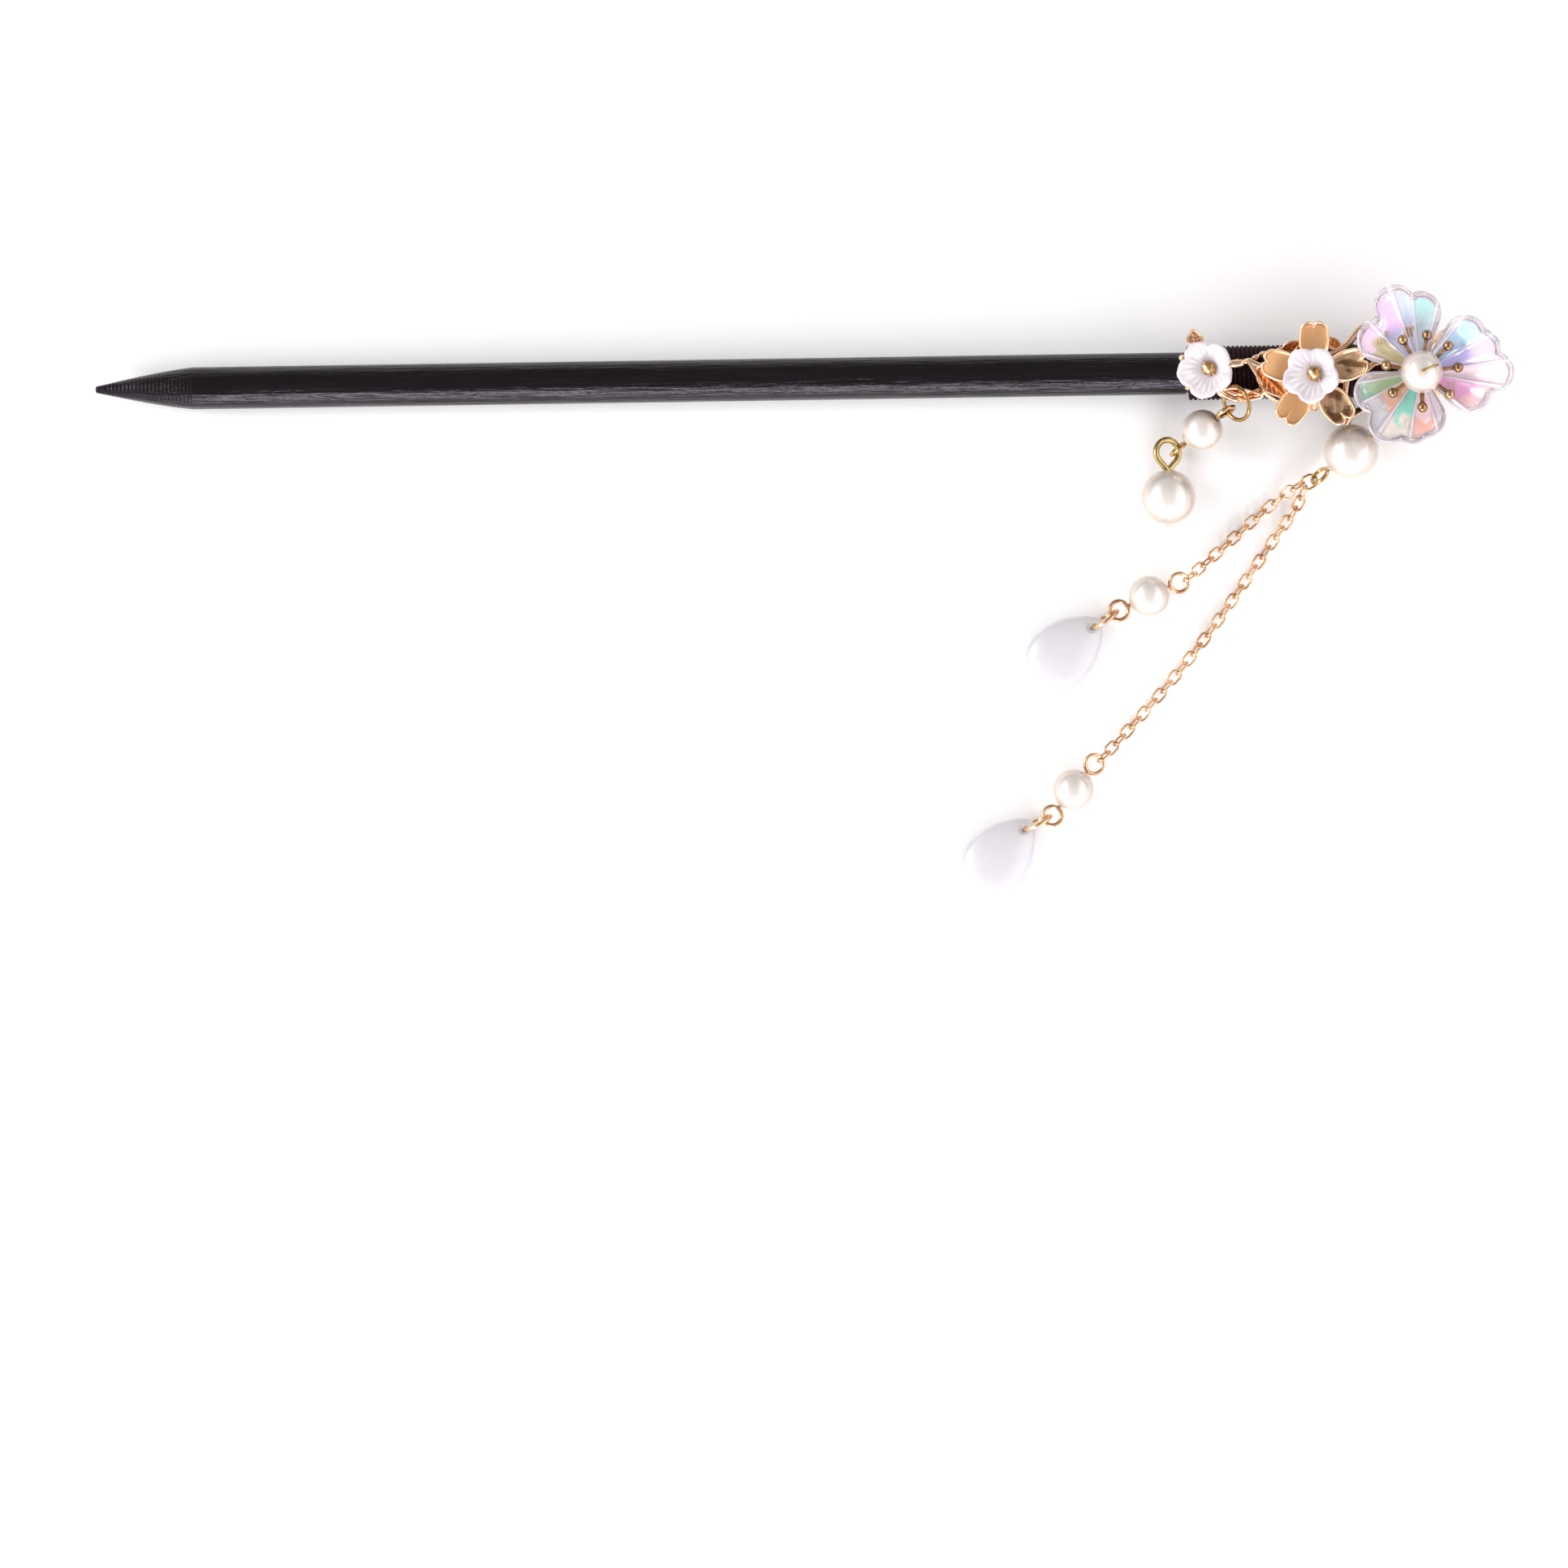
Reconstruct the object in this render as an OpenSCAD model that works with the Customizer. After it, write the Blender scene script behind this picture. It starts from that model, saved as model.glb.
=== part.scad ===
// Hair stick: a lacquered dowel with a thread wrap, a gilded flower branch and pearl strands.
// The point of the stick lies towards -X, the blossoms towards +X, and the strands fall to -Y.

/* [Stick] */
// Length from the point to the blunt end
stick_len = 192; // [160:1:220]
// Diameter of the dowel
stick_d = 6; // [5:0.1:7]
// Length of the turned point
point_len = 14; // [8:0.5:24]
// Diameter of the rounded tip
tip_d = 1; // [0.6:0.1:1.6]
// Bevel round the blunt end
butt_bevel = 0.3; // [0.1:0.05:0.6]

/* [Thread wrap] */
// Length of the wrapped stretch
wrap_len = 35; // [34:0.5:40]
// Bare stick beyond the wrap
wrap_back = 1.6; // [1:0.1:3]
// Advance of one turn of the cord
cord_pitch = 1.15; // [0.9:0.05:1.5]
// Thickness of the wound cord
cord_t = 0.95; // [0.8:0.05:1.1]

/* [Gilded branch] */
// Radius of the main twigs
twig_r = 0.45; // [0.35:0.05:0.6]
// Radius of the band round the back of the wrap
band_r = 0.6; // [0.5:0.05:0.8]
// Radius of the ridged buds
bud_r = 0.55; // [0.4:0.05:0.7]
// Thickness of the leaves
leaf_t = 0.5; // [0.4:0.05:0.7]
// Radius of the pads that carry the blossoms
pad_r = 1.7; // [1.4:0.1:2]

/* [Crystal blossom] */
// Longest reach of a petal from the centre
crystal_reach = 13; // [11:0.5:15]
// Rise of the petal tips above the base
crystal_rise = 5; // [4:0.25:6.5]
// Wall of the petals
crystal_wall = 0.9; // [0.7:0.05:1.2]
// Depth of the flutes
flute_depth = 0.35; // [0.2:0.05:0.5]
// Radius of each scallop on the rim
scallop_r = 2.9; // [2.4:0.1:3.4]

/* [Stamens] */
// Distance of the ball tips from the centre
stamen_reach = 5.15; // [4.5:0.05:6]
// Diameter of a stem
stamen_d = 0.7; // [0.5:0.05:0.9]
// Diameter of a ball tip
anther_d = 1.5; // [1.1:0.1:1.8]

/* [Gilt blossom] */
// Reach of a petal from the centre
gilt_reach = 8; // [7:0.25:9]
// Half width of a petal
gilt_half = 2.25; // [1.9:0.05:2.6]
// Thickness of the petal floor
gilt_floor = 0.4; // [0.3:0.05:0.6]
// Height of the rim above the floor
gilt_rim = 0.35; // [0.2:0.05:0.6]

/* [Glass flowers] */
// Radius of a pressed glass flower at its lobes
glass_r = 4.15; // [3.6:0.05:4.6]
// Height of a glass flower
glass_h = 2.6; // [2:0.1:3.2]
// Radius of its hole
glass_hole_r = 1.25; // [1.15:0.05:1.4]
// Diameter of a seed bead
seed_d = 2.2; // [1.9:0.1:2.4]

/* [Pearls] */
// Diameter of the small pearls
pearl_small_d = 6; // [5:0.5:7]
// Diameter of the large pearls
pearl_large_d = 8; // [7:0.5:9]
// Diameter of the hole through a pearl
pearl_bore_d = 0.9; // [0.8:0.05:1.2]

/* [Wires and rings] */
// Diameter of the eye pin wire
pin_d = 0.6; // [0.5:0.05:0.7]
// Outside diameter of an eye pin's loop
loop_d = 3.3; // [3:0.1:3.8]
// Diameter of the jump ring wire
ring_wire = 0.6; // [0.5:0.05:0.7]
// Outside diameter of the jump rings at the drops and under the crystal blossom
ring_d = 5; // [4.8:0.1:5.6]
// Outside diameter of the jump ring on the curved leaf
upper_ring_d = 5.6; // [5.4:0.1:6]
// Diameter of the thick eye's wire
eye_wire = 0.9; // [0.7:0.05:1]
// Outside diameter of the thick eye
eye_d = 4.6; // [4.2:0.1:5]
// Diameter of the tie wire over the blossoms
tie_d = 0.4; // [0.3:0.05:0.5]

/* [Chains] */
// Outside length of a link
link_len = 2.6; // [2.4:0.05:2.8]
// Outside width of a link
link_w = 1.8; // [1.7:0.05:2]
// Diameter of a link's wire
link_wire = 0.35; // [0.3:0.01:0.38]
// Links in the short chain
short_links = 13; // [9:2:17]
// Links in the long chain
long_links = 29; // [21:2:33]

/* [Glass drops] */
// Length of a drop
drop_len = 13.4; // [11:0.2:16]
// Width of a drop
drop_w = 9.5; // [8:0.1:11]
// Thickness of a drop
drop_t = 4.2; // [3.6:0.1:4.8]
// Diameter of the hole near its tip
drop_hole_d = 1.6; // [1.3:0.1:1.8]

/* [Hidden] */
$fn = 48;

// Running gap between neighbouring pieces
gap = 0.1;
stick_r = stick_d / 2;

// The dowel is turned down a little where the cord is wound, which leaves a shoulder before it
seat_r = stick_r - 0.2;
seat_x = stick_len - wrap_back - wrap_len - gap;
wrap_in_r = seat_r + gap;
wrap_r = wrap_in_r + cord_t;

// Half lengths of the ring forms, taken at the middle of their wire
loop_r = (loop_d - pin_d) / 2;
ring_r = (ring_d - ring_wire) / 2;
upper_ring_r = (upper_ring_d - ring_wire) / 2;
eye_r = (eye_d - eye_wire) / 2;
link_half = (link_len - link_wire) / 2;

// Distance between the centres of two linked rings of half lengths a and b and wires wa and wb.
// The slack keeps their wires apart
function linked(a, b, wa, wb, slack) = a + b - (wa + wb) / 2 - slack;
link_slack = 0.2;
ring_slack = 0.45;
fork_slack = 0.32;

// The band goes round the back of the wrap: its angle and distance from the blunt end by share t
band_gap = gap + 0.05;
band_near = 7.7;
band_sweep = 5.9;
band_flare = 1.9;
function band_turn(t) = 10 - 200 * t;
function band_back(t) = -band_near - band_sweep * pow(t, 4);
function band_out(t) = wrap_r + band_gap + band_r + band_flare * pow(abs(2 * t - 1), 4);
function band_point(t) = [
    band_back(t),
    band_out(t) * cos(band_turn(t)),
    band_out(t) * sin(band_turn(t))
];

// The axis leans a little: the stick rests on the shoulder of its point and on the band
band_x = stick_len + band_back(0.5);
lean = asin((wrap_r + band_gap + 2 * band_r - stick_r) / (band_x - point_len));

// A point on the stick, and one measured back from the blunt end, in the frame of the floor
function on_floor(p) = [
    point_len + (p.x - point_len) * cos(lean) - p.z * sin(lean),
    p.y,
    stick_r + (p.x - point_len) * sin(lean) + p.z * cos(lean)
];
function from_end(p) = on_floor([stick_len + p.x, p.y, p.z]);

// Places of the blossoms, measured from the blunt end
left_at = [-33.8, 0.3];
right_at = [-18.6, -0.6];
gilt_at = [-18.5, -0.9];
crystal_at = [-3.4, -0.45];
left_tilt = 20;
right_tilt = 12;

// Heights of what is stacked on the branch, above the axis. The twigs keep off the wrap by their lift
twig_lift = 0.15;
pad_top = wrap_r + gap + twig_lift + 2 * twig_r;
gilt_z = pad_top + gap;
crystal_z = pad_top + gap;

// Outline of the crystal petals: rim scallops as [angle, share of the reach], and petal bodies
// as [angle, half angle, share of the reach, share of the rise]
SCALLOPS = [
    [144, 0.82], [112, 1], [91, 0.87],
    [38, 0.84], [20, 0.9], [358, 1], [336, 0.8],
    [204, 0.8], [236, 0.9], [258, 0.81], [273, 0.73]
];
PETALS = [[121, 44, 0.78, 1], [8, 50, 0.76, 1], [236, 50, 0.72, 1.3]];
crystal_hub = 3.2;
crystal_curve = 1.6;
centre_hole_r = 0.6;
flute_pitch = 22;

// Slope of the stamens, which clears the petals
ray_rise = 26;

function turned(a) = a - 360 * round(a / 360);
function scallop(th, s) =
    let(d = turned(th - s[0]), c = s[1] * crystal_reach - scallop_r, off = c * sin(d))
    abs(d) < 90 && abs(off) < scallop_r ? c * cos(d) + sqrt(scallop_r * scallop_r - off * off) : 0;
function petal_body(th, p) =
    let(t = turned(th - p[0]) / p[1])
    abs(t) < 1 ? p[2] * crystal_reach * pow(1 - pow(abs(t), 3), 0.35) : 0;
function crystal_edge(th) = max(concat(
    [crystal_hub],
    [for (s = SCALLOPS) scallop(th, s)],
    [for (p = PETALS) petal_body(th, p)]
));
function steepness(th) = max([for (p = PETALS) abs(turned(th - p[0])) < 62 ? p[3] : 1]);
function crystal_slope(r) = crystal_rise * pow(r / crystal_reach, crystal_curve);
function crystal_lift(th, r) =
    steepness(th) * crystal_slope(r)
    + flute_depth * cos(360 * th / flute_pitch) * min(1, r / 6) * (r > 2 ? 1 : 0);

// The star of stamens sits on the crystal where it starts to rise
star_r = 1.5;
star_t = 1.2;
ray_z = 0.4;
star_z = crystal_z + crystal_wall + 3 * gap + max([for (p = PETALS) p[3]]) * crystal_slope(star_r);

// Outline of the gilt blossom: an ellipse in polar form for each petal, with a notch at its tip
gilt_mid = 5;
gilt_hub = 2.4;
gilt_first = 90;
gilt_notch = 0.8;
gilt_curl = 1.1;
function gilt_off(th) = turned(th - gilt_first) - 72 * round(turned(th - gilt_first) / 72);
function gilt_edge(th) =
    let(
        d = gilt_off(th),
        a = gilt_reach - gilt_mid,
        q = pow(gilt_half * cos(d), 2) + pow(a * sin(d), 2),
        k = q - pow(gilt_mid * sin(d), 2)
    )
    k < 0 ? gilt_hub : max(
        gilt_hub,
        (gilt_half * gilt_half * gilt_mid * cos(d) + a * gilt_half * sqrt(k)) / q
            - gilt_notch * max(0, 1 - abs(d) / 5)
    );
function gilt_lift(r) = gilt_curl * pow(r / gilt_reach, 2);

// Outline and dish of a pressed glass flower
glass_well = 0.5;
function glass_wave(th) = abs(cos(2.5 * th));
function glass_edge(th) = glass_r * (0.85 + 0.15 * pow(glass_wave(th), 0.8));
function glass_top(th, s) =
    glass_well + (glass_h - glass_well) * (s < 1 ? pow(s, 0.8) : 0.82) - 0.35 * s * (1 - glass_wave(th));
function glass_under(th, s) = glass_h * 0.55 * s * s;
seed_z = glass_well + 1.15;
tie_r = seed_d / 2 + gap + tie_d / 2;
tie_drop = 55;

// Outline of a drop: its half width by share of the length from the tip
drop_widest = 0.62;
hole_inset = 1.8;
function drop_half(t) =
    drop_w / 2 * (t > drop_widest
        ? sqrt(max(0, 1 - pow((t - drop_widest) / (1 - drop_widest), 2)))
        : pow(1 - pow((drop_widest - t) / drop_widest, 2), 0.8));

// Route of the strands. A step goes a length from p at an azimuth and ends at height z
function step(p, length, az, z) =
    let(run = sqrt(max(0, length * length - (z - p.z) * (z - p.z))))
    [p.x + run * cos(az), p.y + run * sin(az), z];

// Distance from the middle of a pearl to the centre of a loop against it
function loop_off(pearl_d) = pearl_d / 2 + gap + pin_d / 2 + loop_r;

// Upper strand: it hangs on the curved leaf below the left flower
ring_upper_at = from_end([-29.6, -4.45, 4.35]);
upper_a = step(
    ring_upper_at,
    linked(upper_ring_r, loop_r, ring_wire, pin_d, ring_slack),
    219, ring_upper_at.z - 2.05
);
upper_b = step(upper_a, loop_off(pearl_small_d), 217, 4.9);
upper_c = step(upper_b, loop_off(pearl_small_d), 217, 2 * upper_b.z - upper_a.z);
eye_at = step(upper_c, linked(loop_r, eye_r, pin_d, eye_wire, ring_slack), 200, 3.6);
tail_at = step(eye_at, pearl_large_d / 2 + gap + eye_wire / 2 + eye_r, 270, pearl_large_d / 2);

// Main strand: it hangs on the eye of the leaf under the crystal blossom
branch_eye_r = 0.95;
branch_eye_wire = 0.6;
branch_eye = [-4.3, -7.4, 1];
ring_main_at = step(
    from_end(branch_eye),
    linked(branch_eye_r, ring_r, branch_eye_wire, ring_wire, ring_slack),
    188, 5.8
);
main_a = step(ring_main_at, linked(ring_r, loop_r, ring_wire, pin_d, ring_slack), 190, 5.45);
main_b = step(main_a, loop_off(pearl_large_d), 217, pearl_large_d / 2);
main_c = step(main_b, loop_off(pearl_large_d), 217, pearl_large_d - main_a.z);
fork_len = 2.8;
fork_w = 2.4;
fork_half = (fork_len - link_wire) / 2;
fork_side = (fork_w - link_wire) / 2;
fork_at = step(main_c, linked(loop_r, fork_half, pin_d, link_wire, fork_slack), 208, 2.45);
fork_roll = -26;
fork_dir = (fork_at - main_c) / norm(fork_at - main_c);
fork_level = [-fork_dir.y, fork_dir.x, 0] / norm([fork_dir.x, fork_dir.y]);
fork_across = cos(fork_roll) * fork_level + sin(fork_roll) * cross(fork_dir, fork_level);

// A point round the far end of that link, where a chain hooks on
function fork_hook(turn) =
    fork_at + ((fork_len - fork_w) / 2 + fork_side * cos(turn)) * fork_dir
    + fork_side * sin(turn) * fork_across;
short_hook = fork_hook(-16);
long_hook = fork_hook(36);

// Chains: pitch, height of the run on the floor, and azimuths by share of the length
pitch = linked(link_half, link_half, link_wire, link_wire, link_slack);
chain_z = 0.92;
SHORT_AZ = [[0, 210], [0.1, 218], [0.5, 222], [1, 219]];
LONG_AZ = [[0, 247], [0.06, 234], [0.35, 235], [0.7, 229], [1, 225]];
function chain_height(i, n, z0) = max(chain_z, z0 - 0.45 * i, 2.3 - 0.5 * (n - 1 - i));
function links(p, i, n, az, z0) =
    i == n - 1 ? [p]
    : concat([p], links(
        step(p, pitch, lookup(i / (n - 1), az), chain_height(i + 1, n, z0)),
        i + 1, n, az, z0
    ));
first_step = link_half - link_wire - link_slack;
SHORT = links(step(short_hook, first_step, 208, short_hook.z), 0, short_links, SHORT_AZ, short_hook.z);
LONG = links(step(long_hook, first_step, 245, long_hook.z), 0, long_links, LONG_AZ, long_hook.z);

// Ends of the chains: pin, pearl, ring and drop
end_step = linked(link_half, loop_r, link_wire, pin_d, link_slack);
ring_step = linked(loop_r, ring_r, pin_d, ring_wire, ring_slack);
short_a = step(SHORT[short_links - 1], end_step, 208, 2.6);
short_b = step(short_a, loop_off(pearl_small_d), 204, pearl_small_d / 2);
short_c = step(short_b, loop_off(pearl_small_d), 204, pearl_small_d - short_a.z);
ring_short_at = step(short_c, ring_step, 212, 2.6);
drop_short_at = step(ring_short_at, ring_r, 212, drop_t / 2);
drop_short_az = 221;
long_a = step(LONG[long_links - 1], end_step, 218, 2.6);
long_b = step(long_a, loop_off(pearl_small_d), 230, pearl_small_d / 2);
long_c = step(long_b, loop_off(pearl_small_d), 230, pearl_small_d - long_a.z);
ring_long_at = step(long_c, ring_step, 205, 2.6);
drop_long_at = step(ring_long_at, ring_r, 205, drop_t / 2);
drop_long_az = 228;

// Middle of the whole box, which becomes the origin
petal_c = crystal_reach - scallop_r;
far_x = from_end([
    crystal_at.x + petal_c * cos(SCALLOPS[5][0]) + scallop_r,
    0,
    crystal_z + crystal_rise
]).x;
top_y = crystal_at.y + petal_c * sin(SCALLOPS[1][0]) + scallop_r;
round_mid = drop_widest * drop_len - hole_inset;
round_half = norm([
    (1 - drop_widest) * drop_len * sin(drop_long_az),
    drop_w / 2 * cos(drop_long_az)
]);
low_y = drop_long_at.y + round_mid * sin(drop_long_az) - round_half;
middle = [far_x / 2, (top_y + low_y) / 2, 0];

module on_the_floor() {
    translate(-middle) children();
}

module on_the_stick() {
    on_the_floor()
        translate([point_len, 0, stick_r])
            rotate([0, -lean, 0])
                translate([-point_len, 0, 0])
                    children();
}

module at_the_end(p) {
    on_the_stick() translate([stick_len, 0, 0]) translate(p) children();
}

// Places a piece drawn along X at p, with its X axis towards q, rolled about it
module towards(p, q, roll) {
    d = q - p;
    on_the_floor()
        translate(p)
            rotate([roll, -asin(d.z / norm(d)), atan2(d.y, d.x)])
                children();
}

// A closed shell round the Z axis, open by a hole: the top runs outwards, the underside back in
module polar_shell(steps, hole, edge, top, under, top_shares, under_shares) {
    function at(th, s, z) =
        let(r = hole + (edge(th) - hole) * s)
        [r * cos(th), r * sin(th), z];
    n = len(top_shares) + len(under_shares);
    points = [
        for (s = top_shares) for (k = [0 : steps - 1])
            let(th = 360 * k / steps) at(th, s, top(th, s, hole + (edge(th) - hole) * s)),
        for (s = under_shares) for (k = [0 : steps - 1])
            let(th = 360 * k / steps) at(th, s, under(th, s, hole + (edge(th) - hole) * s))
    ];
    function id(i, k) = (i % n) * steps + k % steps;
    faces = [
        for (i = [0 : n - 1]) for (k = [0 : steps - 1]) each [
            [id(i, k), id(i, k + 1), id(i + 1, k)],
            [id(i, k + 1), id(i + 1, k + 1), id(i + 1, k)]
        ]
    ];
    polyhedron(points, faces);
}

// Dowel turned to a point, with a shoulder where the cord starts
module stick() {
    steps = 8;
    tip_r = tip_d / 2;
    profile = concat(
        [[0, tip_r * 0.25], [0, 0]],
        [[stick_len, 0], [stick_len, seat_r - butt_bevel], [stick_len - butt_bevel, seat_r]],
        [[seat_x, seat_r], [seat_x, stick_r]],
        [for (k = [steps : -1 : 0])
            let(t = k / steps)
            [
                tip_r * 0.5 + (point_len - tip_r * 0.5) * t,
                tip_r + (stick_r - tip_r) * (1 - pow(1 - t, 1.25))
            ]]
    );
    color([0.11, 0.1, 0.1])
        on_the_stick()
            rotate([0, 90, 0])
                rotate_extrude($fn = 96)
                    polygon([for (p = profile) [p.y, p.x]]);
}

// Cord wound turn against turn: a ridge for each turn
module thread_wrap() {
    turns = round(wrap_len / cord_pitch);
    turn = wrap_len / turns;
    RIDGE = [[0, 0.72], [0.2, 0.93], [0.5, 1], [0.8, 0.93]];
    outer = [
        for (i = [0 : turns - 1]) for (p = RIDGE)
            [wrap_in_r + cord_t * p[1], (i + p[0]) * turn]
    ];
    color([0.18, 0.11, 0.12])
        on_the_stick()
            translate([stick_len - wrap_back - wrap_len, 0, 0])
                rotate([0, 90, 0])
                    rotate_extrude($fn = 96)
                        polygon(concat(
                            [[wrap_in_r, 0]],
                            outer,
                            [[wrap_in_r + cord_t * RIDGE[0][1], wrap_len], [wrap_in_r, wrap_len]]
                        ));
}

// A point of a twig of radius r that lies on the wrap at x from the blunt end
function lying(x, y, r) = [x, y, sqrt(max(0, pow(wrap_r + gap + twig_lift + r, 2) - y * y))];
function between(a, b, c, d, t) =
    b + (c - a) * t / 2 + (2 * a - 5 * b + 4 * c - d) * t * t / 2
    + (3 * b - a - 3 * c + d) * t * t * t / 2;
function curved(p, n) = concat(
    [for (i = [0 : len(p) - 2]) for (k = [0 : n - 1])
        between(p[max(i - 1, 0)], p[i], p[i + 1], p[min(i + 2, len(p) - 1)], k / n)],
    [p[len(p) - 1]]
);

// A cast twig through the points p, from radius a to radius b
module twig(p, a, b, sides = 6) {
    last = len(p) - 1;
    for (i = [0 : last - 1])
        hull() {
            translate(p[i]) sphere(a + (b - a) * i / last, $fn = sides);
            translate(p[i + 1]) sphere(a + (b - a) * (i + 1) / last, $fn = sides);
        }
}

// A twig that keeps to the wrap through the points p, given as [x, y]
module lying_twig(p, a, b) {
    path = curved(p, 3);
    twig([for (q = path) lying(q.x, q.y, max(a, b))], a, b);
}

// A leaf of the given length and width, pointed at both ends, cupped and with a raised midrib
module leaf(length, width, cup = 0.3) {
    steps = 6;
    row = [-1, -0.5, 0, 0.5, 1];
    function half(t) = width / 2 * pow(sin(180 * pow(t, 0.85)), 0.8);
    function height(v) = cup * v * v + 0.18 * (v == 0 ? 1 : 0);
    points = concat(
        [[0, 0, 0], [length, 0, 0]],
        [for (k = [1 : steps - 1]) for (v = row)
            [length * k / steps, v * half(k / steps), height(v) + leaf_t / 2]],
        [for (k = [1 : steps - 1]) for (v = row)
            [length * k / steps, v * half(k / steps), height(v) - leaf_t / 2]]
    );
    hull_rows = [for (k = [1 : steps - 2]) k];
    function top(k, j) = 2 + (k - 1) * 5 + j;
    function low(k, j) = 2 + (steps - 1) * 5 + (k - 1) * 5 + j;
    last = steps - 1;
    polyhedron(points, concat(
        [for (k = hull_rows) for (j = [0 : 3]) each [
            [top(k, j), top(k, j + 1), top(k + 1, j)],
            [top(k, j + 1), top(k + 1, j + 1), top(k + 1, j)],
            [low(k, j), low(k + 1, j), low(k, j + 1)],
            [low(k, j + 1), low(k + 1, j), low(k + 1, j + 1)]
        ]],
        [for (k = hull_rows) each [
            [top(k, 0), top(k + 1, 0), low(k, 0)],
            [low(k, 0), top(k + 1, 0), low(k + 1, 0)],
            [top(k, 4), low(k, 4), top(k + 1, 4)],
            [low(k, 4), low(k + 1, 4), top(k + 1, 4)]
        ]],
        [for (j = [0 : 3]) each [
            [0, top(1, j + 1), top(1, j)],
            [0, low(1, j), low(1, j + 1)],
            [1, top(last, j), top(last, j + 1)],
            [1, low(last, j + 1), low(last, j)]
        ]],
        [[0, top(1, 0), low(1, 0)], [0, low(1, 4), top(1, 4)],
         [1, low(last, 0), top(last, 0)], [1, top(last, 4), low(last, 4)]]
    ));
}

module leaf_at(p, az, tilt, roll, length, width) {
    translate(p)
        rotate([roll, -tilt, az])
            translate([-length / 2, 0, 0])
                leaf(length, width);
}

// Gilded casting: pads, twigs, leaves, buds and the band, all one piece
module branch() {
    hook = [
        [-33.8, 0.3, 4.5], [-32.6, -2.1, 4.6], [-31, -3.4, 4.2], [-29.6, -3.95, 4.3], [-28, -3.9, 3.4],
        [-26.6, -3.4, 3.2], [-25.6, -2.8, 3.7]
    ];
    arm = [[-1.6, -1.6, 4.3], [-1.2, -4.4, 3.4], [-2.4, -6.6, 1.8], [-3.3, -7.15, 1.25]];
    BUDS = [[-6.7, 7.2, 2.2], [-3.7, 5.6, 1.4], [-0.2, 5, 1.6], [-6.6, -5.6, 2.4], [-3.4, -4.9, 2.8]];
    color([0.85, 0.66, 0.42])
        at_the_end([0, 0, 0])
            difference() {
                union() {
                    for (p = [left_at, right_at, crystal_at])
                        translate([p.x, p.y, wrap_r + gap])
                            cylinder(r = pad_r, h = pad_top - wrap_r - gap, $fn = 16);
                    lying_twig(
                        [[-33.8, 0.3], [-30.2, 1.3], [-27.8, 1.5], [-25.8, 2.5], [-22.8, 3.2], [-20.6, 4]],
                        twig_r, twig_r * 0.7
                    );
                    lying_twig([[-27.8, 1.5], [-26.6, -0.5], [-25.6, -2.8], [-24.2, -3.9], [-23.2, -4.3]],
                        twig_r, twig_r * 0.8);
                    lying_twig(
                        [[-27.8, 1.5], [-24, 0], [-18.6, -0.6], [-14.6, -1.4], [-11.5, -0.2], [-8.9, 1.1],
                            [-3.4, -0.45]],
                        twig_r, twig_r
                    );
                    twig(curved(hook, 3), twig_r, twig_r);
                    // Leaf and claws round the left flower
                    lying_twig([[-33.8, 0.3], [-34.6, 2.6], [-35.3, 3.6]], twig_r, twig_r);
                    leaf_at([-35.3, 4.6, 2.5], 100, -35, 0, 3.2, 2.2);
                    lying_twig([[-33.8, 0.3], [-36, 1.4], [-37.2, 2]], twig_r, bud_r);
                    lying_twig([[-33.8, 0.3], [-35.6, -1.2], [-36.4, -2]], twig_r, bud_r);
                    // Leaves between and round the blossoms
                    leaf_at([-24.3, -1.8, 4.35], -35, 0, 22, 4.6, 3);
                    leaf_at([-21.8, 3.55, 3.5], 30, 10, 30, 3, 1.8);
                    leaf_at([-16, 3.7, 3.45], 150, 0, 30, 3, 1.8);
                    twig([[-18.6, -0.6, 4.5], [-18.5, -3.6, 3.4], [-18.5, -5.2, 2.4]], twig_r, bud_r);
                    // Carrier of the crystal blossom: buds, the beaded end twigs and the hanging arm
                    for (b = BUDS)
                        twig([[crystal_at.x, crystal_at.y, pad_top - 0.5],
                            [(crystal_at.x + b.x) / 2, b.y * 0.62, 4], b], twig_r * 0.8, bud_r);
                    lying_twig([[-3.4, -0.45], [-0.6, 2.4], [3, 1.2], [5, -1]], twig_r, twig_r);
                    leaf_at([5.3, -2.6, 3.8], -86, 0, 0, 3.6, 2.1);
                    lying_twig([[-3.4, -0.45], [-1, -2.8], [1.3, -3.6], [4, -3.4]], twig_r, twig_r * 0.8);
                    twig(curved(arm, 3), twig_r, twig_r);
                    translate(branch_eye)
                        rotate([80, 0, 10])
                            rotate_extrude($fn = 14)
                                translate([branch_eye_r, 0])
                                    circle(branch_eye_wire / 2, $fn = 6);
                    // Band round the back, with the bar and the arm that join it to the front
                    twig([for (k = [0 : 16]) band_point(k / 16)], band_r, band_r, 8);
                    twig(
                        curved([band_point(0), [-10.9, 6.3, 1.8], [-12.6, 5, 2.6], [-13.8, 3.6, 3.3],
                            [-15.6, 2.5, 3.95], [-17.6, 1.5, 4.3]], 3),
                        band_r, twig_r
                    );
                    twig(curved([band_point(1), [-14.1, -5.2, 2.9], [-14.2, -3.2, 3.9], [-13.8, -1, 4.5]], 3),
                        band_r, twig_r);
                    leaf_at(band_point(1) + [0.2, -0.2, 0], -100, 0, 60, 2.4, 1.6);
                }
                for (p = [left_at, right_at])
                    translate([p.x, p.y, 0])
                        cylinder(r = glass_hole_r, h = 20, $fn = 16);
                translate([crystal_at.x, crystal_at.y, 0])
                    cylinder(r = centre_hole_r, h = 20, $fn = 12);
            }
}

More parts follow.
